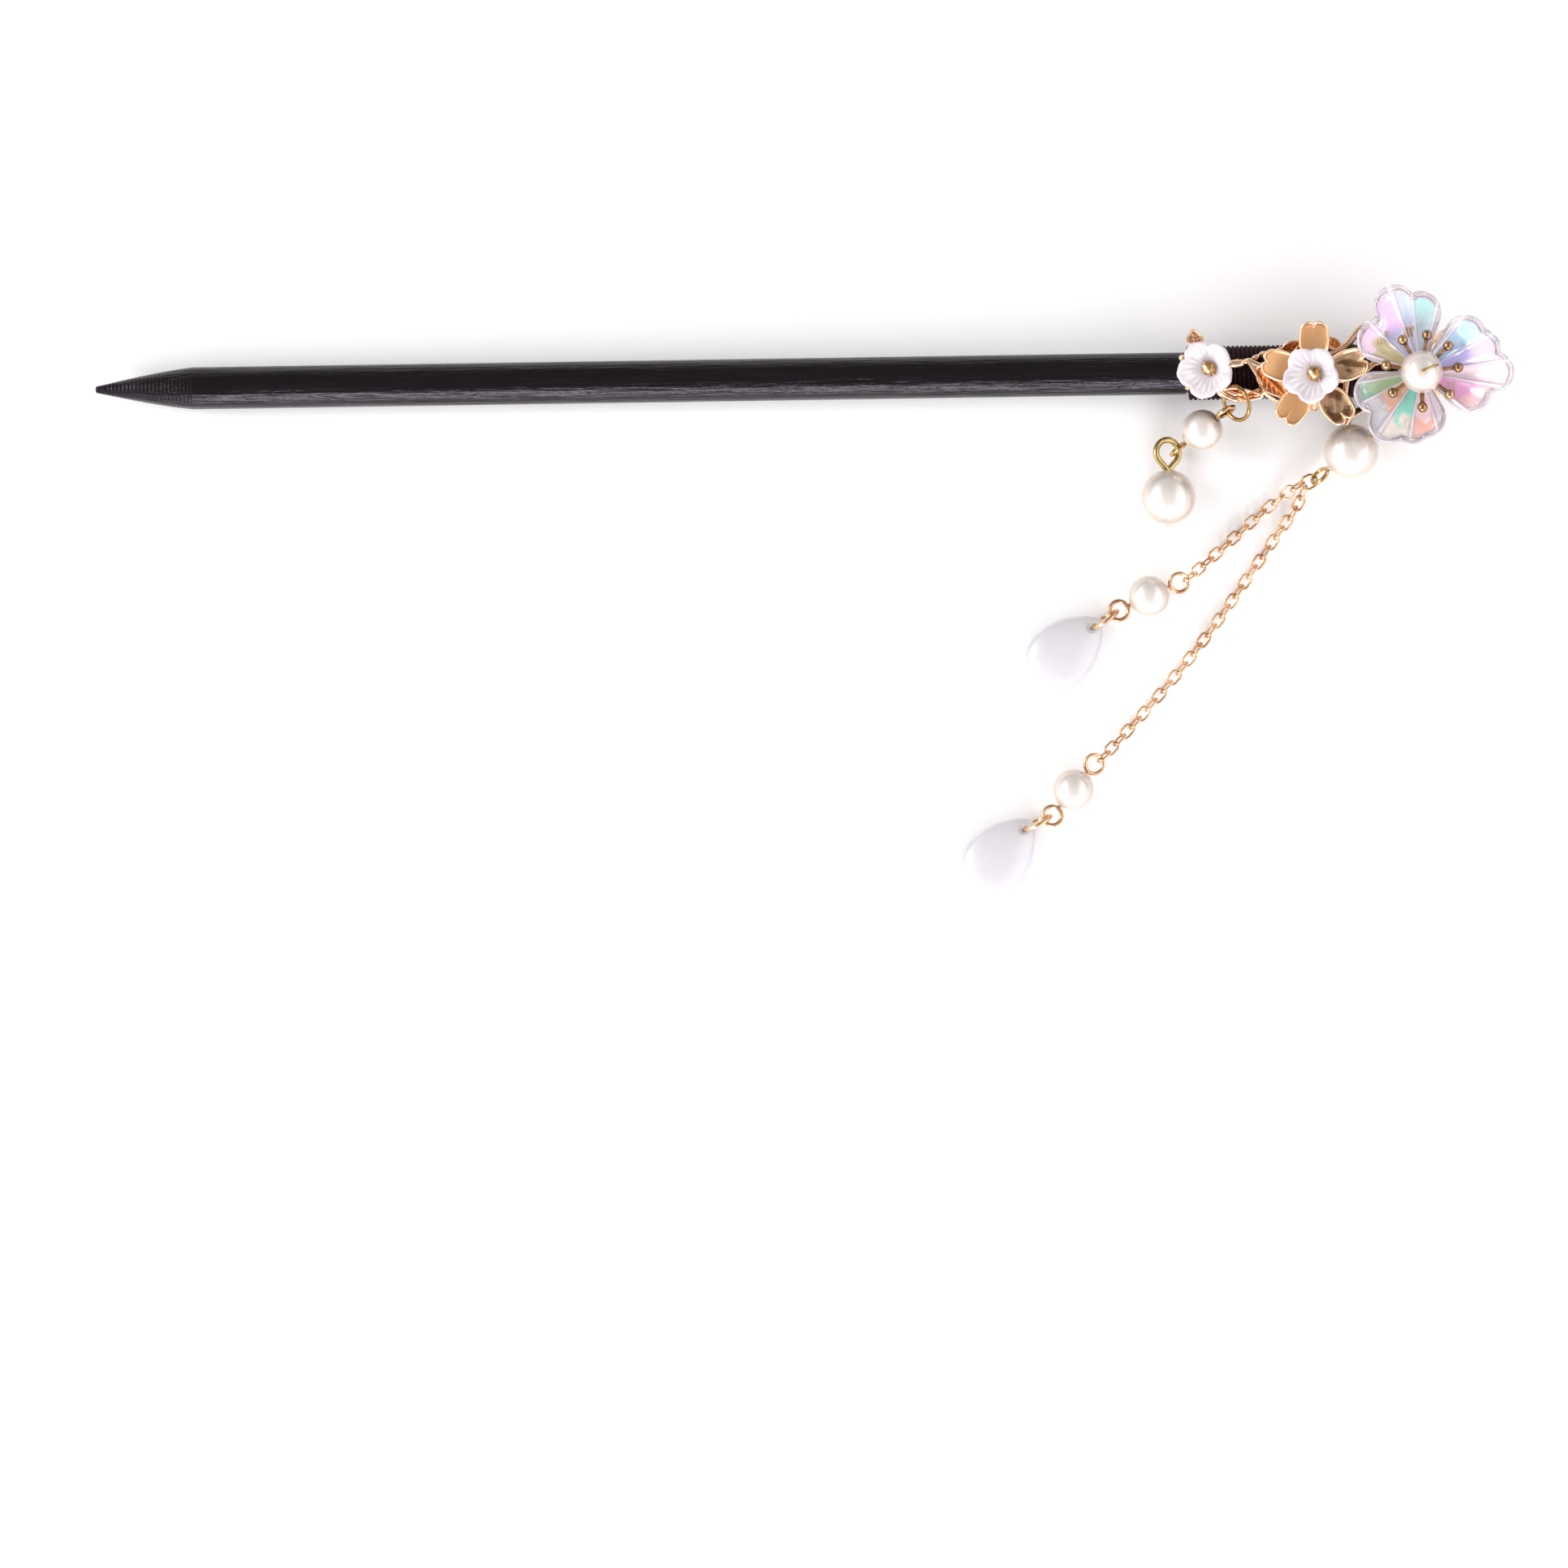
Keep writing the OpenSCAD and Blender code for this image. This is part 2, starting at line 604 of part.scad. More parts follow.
// Five petals with a satin floor, a polished rim and a notch in each tip
module gilt_blossom() {
    color([0.87, 0.68, 0.44])
        at_the_end([gilt_at.x, gilt_at.y, gilt_z])
            polar_shell(
                90, glass_hole_r + 0.3,
                function(th) gilt_edge(th),
                function(th, s, r) gilt_floor + gilt_lift(r) + (s > 0.88 ? gilt_rim : 0),
                function(th, s, r) gilt_lift(r),
                [0, 0.5, 0.86, 0.9, 1],
                [1, 0.5, 0]
            );
}

// Three fluted petals in one clear shell
module crystal_blossom() {
    color([0.85, 0.85, 0.95, 0.6])
        at_the_end([crystal_at.x, crystal_at.y, crystal_z])
            polar_shell(
                144, centre_hole_r,
                function(th) crystal_edge(th),
                function(th, s, r) crystal_lift(th, r) + crystal_wall,
                function(th, s, r) crystal_lift(th, r),
                [0, 0.3, 0.55, 0.8, 1],
                [1, 0.8, 0.55, 0.3, 0]
            );
}

// Cast star of eight stamens with ball tips
module stamens() {
    RAYS = [5, 43, 81, 121, 170, 216, 270, 319];
    // The stems start inside the hub, where they are still clear of each other
    start = 1.15 / cos(ray_rise);
    reach = stamen_reach / cos(ray_rise);
    color([0.78, 0.62, 0.42])
        at_the_end([crystal_at.x, crystal_at.y, star_z])
            difference() {
                union() {
                    cylinder(r1 = star_r, r2 = star_r - 0.1, h = star_t);
                    for (a = RAYS)
                        translate([0, 0, ray_z]) rotate([0, 90 - ray_rise, a]) {
                            translate([0, 0, start]) cylinder(d = stamen_d, h = reach - start);
                            translate([0, 0, reach]) sphere(d = anther_d);
                        }
                }
                translate([0, 0, -1]) cylinder(r = centre_hole_r, h = 3);
            }
}

module pearl(d) {
    color([0.93, 0.89, 0.86])
        rotate([0, 90, 0])
            difference() {
                sphere(d = d);
                cylinder(d = pearl_bore_d, h = 2 * d, center = true);
            }
}

// The centre pearl sits clear of the stamens that rise round it
pearl_lift = (pearl_small_d / 2 + stamen_d / 2 + 0.2) / cos(ray_rise) + ray_z;
pearl_place = [crystal_at.x - 0.1, crystal_at.y - 0.15, star_z + pearl_lift];

module centre_pearl() {
    at_the_end(pearl_place) rotate([0, 90, 0]) pearl(pearl_small_d);
}

// Wire up through the blossom and the pearl, bent down over the pearl
module pearl_pin() {
    over = pearl_small_d / 2 + gap + tie_d / 2;
    foot = wrap_r + gap + 0.1;
    color([0.9, 0.72, 0.5])
        at_the_end([pearl_place.x, pearl_place.y, 0]) {
            translate([0, 0, foot]) cylinder(d = tie_d, h = pearl_place.z + over - foot);
            translate([0, 0, pearl_place.z])
                rotate([90, 0, 22])
                    rotate_extrude(angle = 48, start = 42)
                        translate([over, 0]) circle(d = tie_d);
            translate([0, 0, pearl_place.z + over]) sphere(d = 1.15 * tie_d);
        }
}

// Pressed glass flower with five lobes, its hole along Z
module glass_flower(first) {
    color([0.93, 0.91, 0.93])
        rotate([0, 0, first])
            polar_shell(
                60, glass_hole_r,
                function(th) glass_edge(th),
                function(th, s, r) glass_top(th, s),
                function(th, s, r) glass_under(th, s),
                [0, 0.3, 0.7, 0.93, 1],
                [0.95, 0.5, 0]
            );
}

module at_left() {
    at_the_end([left_at.x, left_at.y, pad_top + gap + pad_r * sin(left_tilt)])
        rotate([0, -left_tilt, 0]) children();
}

module at_right() {
    at_the_end([right_at.x, right_at.y, gilt_z + gilt_floor + gap + 0.35 + pad_r * sin(right_tilt)])
        rotate([0, -right_tilt, 0]) children();
}

module seed_bead() {
    color([0.85, 0.66, 0.3])
        translate([0, 0, seed_z])
            rotate([90, 0, 0])
                difference() {
                    sphere(d = seed_d);
                    cylinder(d = tie_d + 0.3, h = 2 * seed_d, center = true);
                }
}

// Staple of wire over the seed bead and down through the flower
module tie(reach) {
    leg = tie_r * cos(tie_drop);
    low = seed_z - tie_r * sin(tie_drop);
    color([0.9, 0.72, 0.5]) {
        translate([0, 0, seed_z])
            rotate([90, 0, 90])
                rotate_extrude(angle = 180 + 2 * tie_drop, start = -tie_drop)
                    translate([tie_r, 0]) circle(d = tie_d);
        for (side = [-1, 1])
            translate([0, side * leg, low]) {
                sphere(d = tie_d);
                translate([0, 0, -reach]) cylinder(d = tie_d, h = reach);
            }
    }
}

module ring(d, wire) {
    rotate_extrude() translate([(d - wire) / 2, 0]) circle(d = wire, $fn = 24);
}

// Wire through a pearl with a loop at each end, each rolled about the wire
module eye_pin(pearl_d, roll_a, roll_b) {
    off = loop_off(pearl_d);
    color([0.85, 0.66, 0.42]) {
        rotate([0, 90, 0]) cylinder(d = pin_d, h = 2 * (off - loop_r), center = true);
        translate([-off, 0, 0]) rotate([roll_a, 0, 0]) ring(loop_d, pin_d);
        translate([off, 0, 0]) rotate([roll_b, 0, 0]) ring(loop_d, pin_d);
    }
}

// The loops of each pin cross what they hold nearly square
module eye_pin_upper() {
    towards(upper_b, upper_c, 0) eye_pin(pearl_small_d, -74, 82);
}

module eye_pin_main() {
    towards(main_b, main_c, 0) eye_pin(pearl_large_d, -78, fork_roll + 90);
}

// Oval link with straight sides along X
module link(length, width) {
    side = (width - link_wire) / 2;
    straight = (length - width) / 2;
    color([0.87, 0.68, 0.46]) {
        for (end = [0, 180])
            rotate([0, 0, end])
                translate([straight, 0, 0])
                    rotate_extrude(angle = 180, start = -90)
                        translate([side, 0]) circle(d = link_wire, $fn = 24);
        for (y = [-side, side])
            translate([0, y, 0])
                rotate([0, 90, 0])
                    cylinder(d = link_wire, h = 2 * straight, center = true, $fn = 24);
    }
}

// Links alternate between a flat and a steep lie, and each is turned to suit both its neighbours
module chain(c, before, after) {
    all = concat([before], c, [after]);
    for (i = [1 : len(c)])
        towards(all[i], all[i] + all[i + 1] - all[i - 1], i % 2 == 1 ? 70 : -16)
            link(link_len, link_w);
}

// Drop of glass along X from its hole, pointed towards the ring
module drop(p, az) {
    steps = 12;
    sides = 24;
    function share(k) = (1 - cos(180 * k / steps)) / 2;
    function id(i, k) = 1 + (i - 1) * sides + k % sides;
    far = 1 + (steps - 1) * sides;
    points = concat(
        [[0, 0, 0]],
        [for (i = [1 : steps - 1]) for (k = [0 : sides - 1])
            let(h = drop_half(share(i)), a = 360 * k / sides)
            [drop_len * share(i), h * cos(a), h * drop_t / drop_w * sin(a)]],
        [[drop_len, 0, 0]]
    );
    faces = concat(
        [for (k = [0 : sides - 1]) [0, id(1, k + 1), id(1, k)]],
        [for (i = [1 : steps - 2]) for (k = [0 : sides - 1]) each [
            [id(i, k), id(i, k + 1), id(i + 1, k)],
            [id(i, k + 1), id(i + 1, k + 1), id(i + 1, k)]
        ]],
        [for (k = [0 : sides - 1]) [far, id(steps - 1, k), id(steps - 1, k + 1)]]
    );
    color([0.9, 0.89, 0.92])
        on_the_floor()
            translate(p)
                rotate([0, 0, az])
                    difference() {
                        translate([-hole_inset, 0, 0]) polyhedron(points, faces);
                        cylinder(d = drop_hole_d, h = 2 * drop_t, center = true);
                    }
}

module jump_ring(d = ring_d) {
    color([0.85, 0.66, 0.42]) ring(d, ring_wire);
}

// The upper jump ring hangs round the curved leaf, its low side towards the pearls
module ring_upper() {
    on_the_floor() translate(ring_upper_at) rotate([0, -50, 20]) jump_ring(upper_ring_d);
}

module ring_main() {
    towards(ring_main_at, main_a, 12) jump_ring();
}

// Steep link that gathers both chains
module link_main() {
    towards(fork_at, 2 * fork_at - main_c, fork_roll) link(fork_len, fork_w);
}

// Thick eye with its shank and head, through the last pearl of the upper strand
module thick_eye() {
    color([0.74, 0.64, 0.36])
        towards(eye_at, tail_at, -24) {
            ring(eye_d, eye_wire);
            translate([eye_r, 0, 0])
                rotate([0, 90, 0])
                    cylinder(d = pin_d, h = pearl_large_d + eye_wire / 2 + 3 * gap);
            translate([eye_r + eye_wire / 2 + 2 * gap + pearl_large_d, 0, 0])
                rotate([0, 90, 0])
                    cylinder(d = 1.5 * pearl_bore_d, h = 0.3);
        }
}

stick();
thread_wrap();
branch();
gilt_blossom();
crystal_blossom();
stamens();
centre_pearl();
pearl_pin();
at_left() glass_flower(45);  // glass_flower_left
at_right() glass_flower(44);  // glass_flower_right
at_left() seed_bead();  // seed_bead_left
at_right() seed_bead();  // seed_bead_right
at_left() tie(1);  // tie_left
at_right() tie(1.4);  // tie_right
ring_upper();
eye_pin_upper();
towards(upper_b, upper_c, 0) pearl(pearl_small_d);  // pearl_upper
thick_eye();
towards(tail_at, 2 * tail_at - eye_at, 0) pearl(pearl_large_d);  // pearl_tail
ring_main();
eye_pin_main();
towards(main_b, main_c, 0) pearl(pearl_large_d);  // pearl_main
link_main();
chain(SHORT, short_hook, short_a);  // chain_short
towards(short_b, short_c, 0) eye_pin(pearl_small_d, -16, 0);  // eye_pin_short
towards(short_b, short_c, 0) pearl(pearl_small_d);  // pearl_short
towards(ring_short_at, drop_short_at, 82) jump_ring();  // ring_short
drop(drop_short_at, drop_short_az);  // drop_short
chain(LONG, long_hook, long_a);  // chain_long
towards(long_b, long_c, 0) eye_pin(pearl_small_d, -16, 0);  // eye_pin_long
towards(long_b, long_c, 0) pearl(pearl_small_d);  // pearl_long
towards(ring_long_at, drop_long_at, 82) jump_ring();  // ring_long
drop(drop_long_at, drop_long_az);  // drop_long
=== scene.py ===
import math

import bpy
import numpy as np
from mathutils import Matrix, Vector


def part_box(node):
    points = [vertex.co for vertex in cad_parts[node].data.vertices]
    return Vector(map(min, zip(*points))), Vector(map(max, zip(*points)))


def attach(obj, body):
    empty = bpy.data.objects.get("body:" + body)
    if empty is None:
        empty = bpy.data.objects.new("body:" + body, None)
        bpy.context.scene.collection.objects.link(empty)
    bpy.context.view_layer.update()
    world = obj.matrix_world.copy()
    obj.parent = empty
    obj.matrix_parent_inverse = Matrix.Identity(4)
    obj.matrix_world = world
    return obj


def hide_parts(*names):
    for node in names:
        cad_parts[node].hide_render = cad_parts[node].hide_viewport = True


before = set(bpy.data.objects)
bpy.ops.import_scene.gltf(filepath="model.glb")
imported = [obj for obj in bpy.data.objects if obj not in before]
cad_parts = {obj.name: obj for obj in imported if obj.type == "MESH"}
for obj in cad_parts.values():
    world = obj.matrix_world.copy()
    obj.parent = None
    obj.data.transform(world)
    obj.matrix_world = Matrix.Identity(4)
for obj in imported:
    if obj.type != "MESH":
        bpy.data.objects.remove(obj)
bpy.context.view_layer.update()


# The view: a long lens looks straight down on the hair stick, turned a little so that the stick
# leans in the picture as it does in the photograph.
scene = bpy.context.scene
camera = bpy.data.objects.new("camera", bpy.data.cameras.new("camera"))
camera.data.sensor_width = 36
camera.data.lens = 290.2
camera.data.clip_end = 20
camera.location = (-0.00342, -0.02633, 1.804)
camera.rotation_euler = (0, 0, math.radians(-0.8365))
scene.collection.objects.link(camera)
scene.camera = camera
scene.view_settings.view_transform = "Standard"


# The table and its light: a pale board under a soft white sky, darker overhead and behind. It is brighter past
# both ends of the dowel, which mirrors them only in a view along it, and this keeps the shadows faint. Two
# oval lamps low on the left and in front put two round spots on each pearl and a streak on the dowel.
class Wire:
    """A socket of a shader. Its operators add Math nodes, and node() adds any other node."""

    def __init__(self, tree, socket=None):
        self.tree, self.socket = tree, socket

    def node(self, kind, settings=None, sockets=None, out=0):
        """Adds a node: its settings first, a ramp's stops among them, then its sockets' values or links."""
        made = self.tree.nodes.new("ShaderNode" + kind)
        for key, value in (settings or {}).items():
            if key == "stops":
                for k, (at, tint) in enumerate(value):
                    stop = made.color_ramp.elements[k] if k < 2 else made.color_ramp.elements.new(at)
                    stop.position, stop.color = at, tint
            else:
                setattr(made, key, value)
        for key, value in (sockets or {}).items():
            if isinstance(value, Wire):
                self.tree.links.new(value.socket, made.inputs[key])
            else:
                made.inputs[key].default_value = value
        return Wire(self.tree, made.outputs[out]) if len(made.outputs) else None

    def math(self, operation, a, b=0.0):
        return self.node("Math", {"operation": operation}, {0: a, 1: b})

    def __add__(self, other):
        return self.math("ADD", self, other)

    def __sub__(self, other):
        return self.math("SUBTRACT", self, other)

    def __rsub__(self, other):
        return self.math("SUBTRACT", other, self)

    def __mul__(self, other):
        return self.math("MULTIPLY", self, other)

    def __pow__(self, other):
        return self.math("POWER", self, other)

    __radd__, __rmul__ = __add__, __mul__


def blended(w, share, a, b):
    """A colour between a and b by share."""
    return w.node("Mix", {"data_type": "RGBA"}, {0: share, 6: a, 7: b}, 2)


def eased(w, value, low, high):
    """0 below low, 1 above high, and a smooth step between."""
    limits = {"Value": value, "From Min": low, "From Max": high}
    return w.node("MapRange", {"interpolation_type": "SMOOTHSTEP"}, limits)


def speckle(w, scale, detail=3.0, stretch=(1, 1, 1), distortion=0.0):
    """Noise fixed to the piece, scale times a metre, stretched along its axes."""
    place = w.node("Mapping", None, {"Vector": w.node("TexCoord", out="Object"), "Scale": stretch})
    noise = {"Vector": place, "Scale": scale, "Detail": detail, "Distortion": distortion}
    return w.node("TexNoise", None, noise, "Fac")


def relief(w, height, depth, strength=1.0):
    """A bump of a depth in metres."""
    return w.node("Bump", None, {"Strength": strength, "Distance": depth, "Height": height}, "Normal")


def finish(name, paint):
    """A material from paint, which takes a Wire and gives the surface shader's sockets."""
    look = bpy.data.materials.new(name)
    look.use_nodes = True
    look.node_tree.nodes.clear()
    w = Wire(look.node_tree)
    w.node("OutputMaterial", None, {"Surface": w.node("BsdfPrincipled", None, paint(w))})
    return look


def board(w):
    grain = speckle(w, 900.0, 5.0)
    return {
        "Base Color": blended(w, speckle(w, 14.0), (0.955, 0.955, 0.96, 1), (0.975, 0.975, 0.975, 1)),
        "Roughness": 0.6 + 0.15 * grain,
        "Normal": relief(w, grain, 0.00002, 0.3),
    }


BOARD_HALF, BOARD_CELLS = 1.5, 12
board_line = np.linspace(-BOARD_HALF, BOARD_HALF, BOARD_CELLS + 1)
across, away = np.meshgrid(board_line, board_line)
board_points = np.stack([across, away, np.zeros_like(across)], -1).reshape(-1, 3)
row, column = np.indices((BOARD_CELLS, BOARD_CELLS)).reshape(2, -1)
corner = row * (BOARD_CELLS + 1) + column
board_faces = np.stack([corner, corner + 1, corner + BOARD_CELLS + 2, corner + BOARD_CELLS + 1], 1)
board_mesh = bpy.data.meshes.new("table_board")
board_mesh.from_pydata(board_points.tolist(), [], board_faces.tolist())
board_mesh.materials.append(finish("table_board", board))
table_board = bpy.data.objects.new("table_board", board_mesh)
scene.collection.objects.link(table_board)

sky = bpy.data.worlds.new("soft_sky")
scene.world = sky
sky.use_nodes = True
sky.node_tree.nodes.clear()
w = Wire(sky.node_tree)
towards = w.node("TexCoord", out="Generated")
sideways, backward, upward = (w.node("SeparateXYZ", None, {0: towards}, k) for k in range(3))
overhead = eased(w, upward, 0.56, 0.97)
behind = eased(w, backward, -0.6, 0.5)
at_an_end = eased(w, w.math("ABSOLUTE", sideways), 0.3, 0.8) * eased(w, upward, 0.12, 0.42)
horizon = blended(w, behind, (1.4, 1.34, 1.46, 1), (0.42, 0.41, 0.40, 1))
open_sky = blended(w, overhead, horizon, (0.46, 0.44, 0.43, 1))
whole_sky = blended(w, at_an_end, open_sky, (2.4, 2.36, 2.33, 1))
glow = w.node("Background", None, {"Color": whole_sky, "Strength": 0.88})
w.node("OutputWorld", None, {"Surface": glow})


def oval_lamp(name, where, width, height, power):
    """A soft lamp that faces the hair stick."""
    lamp = bpy.data.lights.new(name, "AREA")
    lamp.shape, lamp.size, lamp.size_y, lamp.energy = "ELLIPSE", width, height, power
    held = bpy.data.objects.new(name, lamp)
    held.location = where
    held.rotation_euler = Vector(where).to_track_quat("Z", "Y").to_euler()
    scene.collection.objects.link(held)


oval_lamp("soft_box_left", (-0.72, 0.22, 0.52), 0.42, 0.42, 3.0)
oval_lamp("soft_box_front", (-0.06, -0.84, 0.42), 0.45, 0.3, 4.2)


# The dowel: a stick of hard wood, 192 mm by 6 mm, turned to a blunt point and lacquered black. The lathe
# leaves fine rings on the point, and the polish runs along the wood. A small shoulder meets the cord, and the
# stick rests on its point and on the branch's band, so the band's sizes give its lean.
GAP = 0.1
STICK_LEN, STICK_R, SEAT_R, POINT_LEN, TIP_R = 192.0, 3.0, 2.8, 14.0, 0.5
RING_PITCH, RING_DEPTH = 0.55, 0.025
WRAP_LEN, WRAP_BACK, WRAP_IN_R, CORD_T = 35.0, 1.6, 2.9, 0.95
WRAP_R = WRAP_IN_R + CORD_T
SHOULDER_X = STICK_LEN - WRAP_BACK - WRAP_LEN - GAP
BAND_NEAR, BAND_SWEEP, BAND_FLARE, BAND_R = 7.7, 5.9, 1.9, 0.6
BAND_GAP = GAP + 0.05
MIDDLE = np.array([100.724, -31.27, 0.0])
band_x = STICK_LEN - BAND_NEAR - BAND_SWEEP * 0.5 ** 4
LEAN = math.asin((WRAP_R + BAND_GAP + 2 * BAND_R - STICK_R) / (band_x - POINT_LEN))


def colour(red, green, blue):
    """A colour read off the photograph, 0 to 255, as a shader wants it: the usual screen curve undone."""
    c = np.array([red, green, blue]) / 255
    linear = np.where(c < 0.0405, c / 12.92, ((c + 0.055) / 1.055) ** 2.4)
    return tuple(float(v) for v in linear) + (1.0,)


def from_end(p):
    """Points in mm, measured from the blunt end along the stick's axis, as points of the model in metres:
    turned by the stick's lean about the shoulder of its point, then moved to the model's middle."""
    x, y, z = p[..., 0] + STICK_LEN - POINT_LEN, p[..., 1], p[..., 2]
    leant_x = POINT_LEN + x * math.cos(LEAN) - z * math.sin(LEAN)
    leant_z = STICK_R + x * math.sin(LEAN) + z * math.cos(LEAN)
    return (np.stack([leant_x, y, leant_z], -1) - MIDDLE) / 1000


def full_circle(count):
    """Angles of even steps round a circle."""
    return 2 * np.pi * np.arange(count) / count


def lathed(along, r, count, upright=False):
    """Rings about the X axis, or about Z if upright: a circle of radius r at each place along it."""
    a = full_circle(count)
    along, r = np.array(along)[:, None], np.array(r)[:, None]
    rows = np.stack([along * np.ones(count), r * np.cos(a), r * np.sin(a)], -1)
    return np.roll(rows, -1, -1) if upright else rows


def banded(rows, loop=False, mark=0.0, place=from_end):
    """Triangles over a grid of points whose rows are closed rings, after place has put them in the model.
    With loop the last row joins the first, and without it a point at the middle of each end ring closes it.
    The map runs round and along, and mark is a number for each point. A grid that comes out inside out is
    turned over."""
    rows = place(rows)
    n, m = rows.shape[:2]
    marks = np.broadcast_to(mark, (n, m)).reshape(-1)
    points = rows.reshape(-1, 3)
    i, j = np.indices((n if loop else n - 1, m)).reshape(2, -1)
    a, b = i * m + j, i * m + (j + 1) % m
    d, c = (i + 1) % n * m + j, (i + 1) % n * m + (j + 1) % m
    faces = [np.stack([a, b, c], 1), np.stack([a, c, d], 1)]
    u0, u1, v0, v1 = j / m, (j + 1) / m, i / n, (i + 1) / n
    maps = [np.stack([u0, v0, u1, v0, u1, v1], 1), np.stack([u0, v0, u1, v1, u0, v1], 1)]
    if not loop:
        points = np.vstack([points, rows[0].mean(0), rows[-1].mean(0)])
        marks = np.append(marks, [marks[0], marks[-1]])
        k = np.arange(m)
        k1, last, none, one = (k + 1) % m, (n - 1) * m, np.zeros(m), np.ones(m)
        faces += [np.stack([none + n * m, k1, k], 1), np.stack([none + n * m + 1, last + k, last + k1], 1)]
        maps += [
            np.stack([(k + 0.5) / m, none, (k + 1) / m, none, k / m, none], 1),
            np.stack([(k + 0.5) / m, one, k / m, one, (k + 1) / m, one], 1),
        ]
    faces, maps = np.vstack(faces).astype(int), np.vstack(maps).reshape(-1, 3, 2)
    p = points[faces]
    if np.sum(p[:, 0] * np.cross(p[:, 1], p[:, 2])) < 0:
        faces, maps = faces[:, ::-1], maps[:, ::-1]
    return points, faces, maps, marks


def piece(name, grids, look, slot, *nodes, crease=50):
    """One object made of closed grids. It rides on the hair stick and stands for the CAD nodes."""
    shift = np.cumsum([0] + [len(g[0]) for g in grids])
    points = np.vstack([g[0] for g in grids])
    faces = np.vstack([g[1] + s for g, s in zip(grids, shift)])
    mesh = bpy.data.meshes.new(name)
    mesh.vertices.add(len(points))
    mesh.vertices.foreach_set("co", points.astype(np.float32).ravel())
    mesh.loops.add(faces.size)
    mesh.loops.foreach_set("vertex_index", faces.astype(np.int32).ravel())
    mesh.polygons.add(len(faces))
    mesh.polygons.foreach_set("loop_start", np.arange(0, faces.size, 3, dtype=np.int32))
    mesh.update(calc_edges=True)
    maps = mesh.uv_layers.new(name="round_and_along")
    maps.uv.foreach_set("vector", np.vstack([g[2] for g in grids]).astype(np.float32).ravel())
    marks = mesh.attributes.new("mark", "FLOAT", "POINT")
    marks.data.foreach_set("value", np.concatenate([g[3] for g in grids]).astype(np.float32))
    mesh.shade_smooth()
    mesh.set_sharp_from_angle(angle=math.radians(crease))
    mesh.materials.append(look)
    made = bpy.data.objects.new(name, mesh)
    scene.collection.objects.link(made)
    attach(made, "root")
    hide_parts(*nodes)


def lacquer(w):
    brushed = speckle(w, 1.0, 4.0, (110, 2600, 2600))
    worn = speckle(w, 1.0, 3.0, (160, 700, 700))
    dust = eased(w, speckle(w, 5200.0, 1.0), 0.80, 0.86)
    black = blended(w, brushed * worn, colour(7, 5, 5), colour(30, 25, 28))
    return {
        "Base Color": blended(w, dust * 0.4, black, colour(110, 110, 120)),
        "Roughness": 0.10 + 0.26 * brushed * worn,
        "Normal": relief(w, brushed + 0.7 * worn, 0.00014),
        "Specular IOR Level": 0.28, "Specular Tint": (1.0, 0.9, 1.06, 1),
    }


cone_share = np.linspace(0, 1, 150)
cone_x = TIP_R / 2 + (POINT_LEN - TIP_R / 2) * cone_share
ringed = (cone_share > 0.1) * (cone_share < 0.98) * (0.5 + 0.5 * np.cos(2 * np.pi * cone_x / RING_PITCH))
cone_r = TIP_R + (STICK_R - TIP_R) * (1 - (1 - cone_share) ** 1.25) - RING_DEPTH * ringed
shaft_x = np.linspace(POINT_LEN, SHOULDER_X, 72)[1:]
seat_x = np.append(SHOULDER_X, STICK_LEN - np.array([32, 22, 12, 4, 0.3, 0.15, 0.04, 0]))
seat_r = SEAT_R - np.array([0, 0, 0, 0, 0, 0, 0.06, 0.16, 0.3])
tip_a = np.radians([84, 66, 44, 22])
dowel_x = np.concatenate([TIP_R / 2 * (1 - np.sin(tip_a)), cone_x, shaft_x, seat_x])
dowel_r = np.concatenate([cone_r[0] * np.cos(tip_a), cone_r, np.full(len(shaft_x), STICK_R), seat_r])
dowel = banded(lathed(dowel_x - STICK_LEN, dowel_r, 96))
black_lacquer = finish("black_lacquer", lacquer)
piece("lacquered_dowel", [dowel], black_lacquer, "lacquered_wood", "stick", crease=30)


# The thread wrap: a dark plum cord of three plies, wound turn against turn over the last part of the dowel
# and glued. Small pale spots in its colour are painted glints, where light would catch the fibres.
CORD_TURNS, TURN_STEPS, PLY_TWIST = 54, 72, 11


def unit(v):
    """Vectors at a length of one."""
    return v / np.linalg.norm(v, axis=-1, keepdims=True)


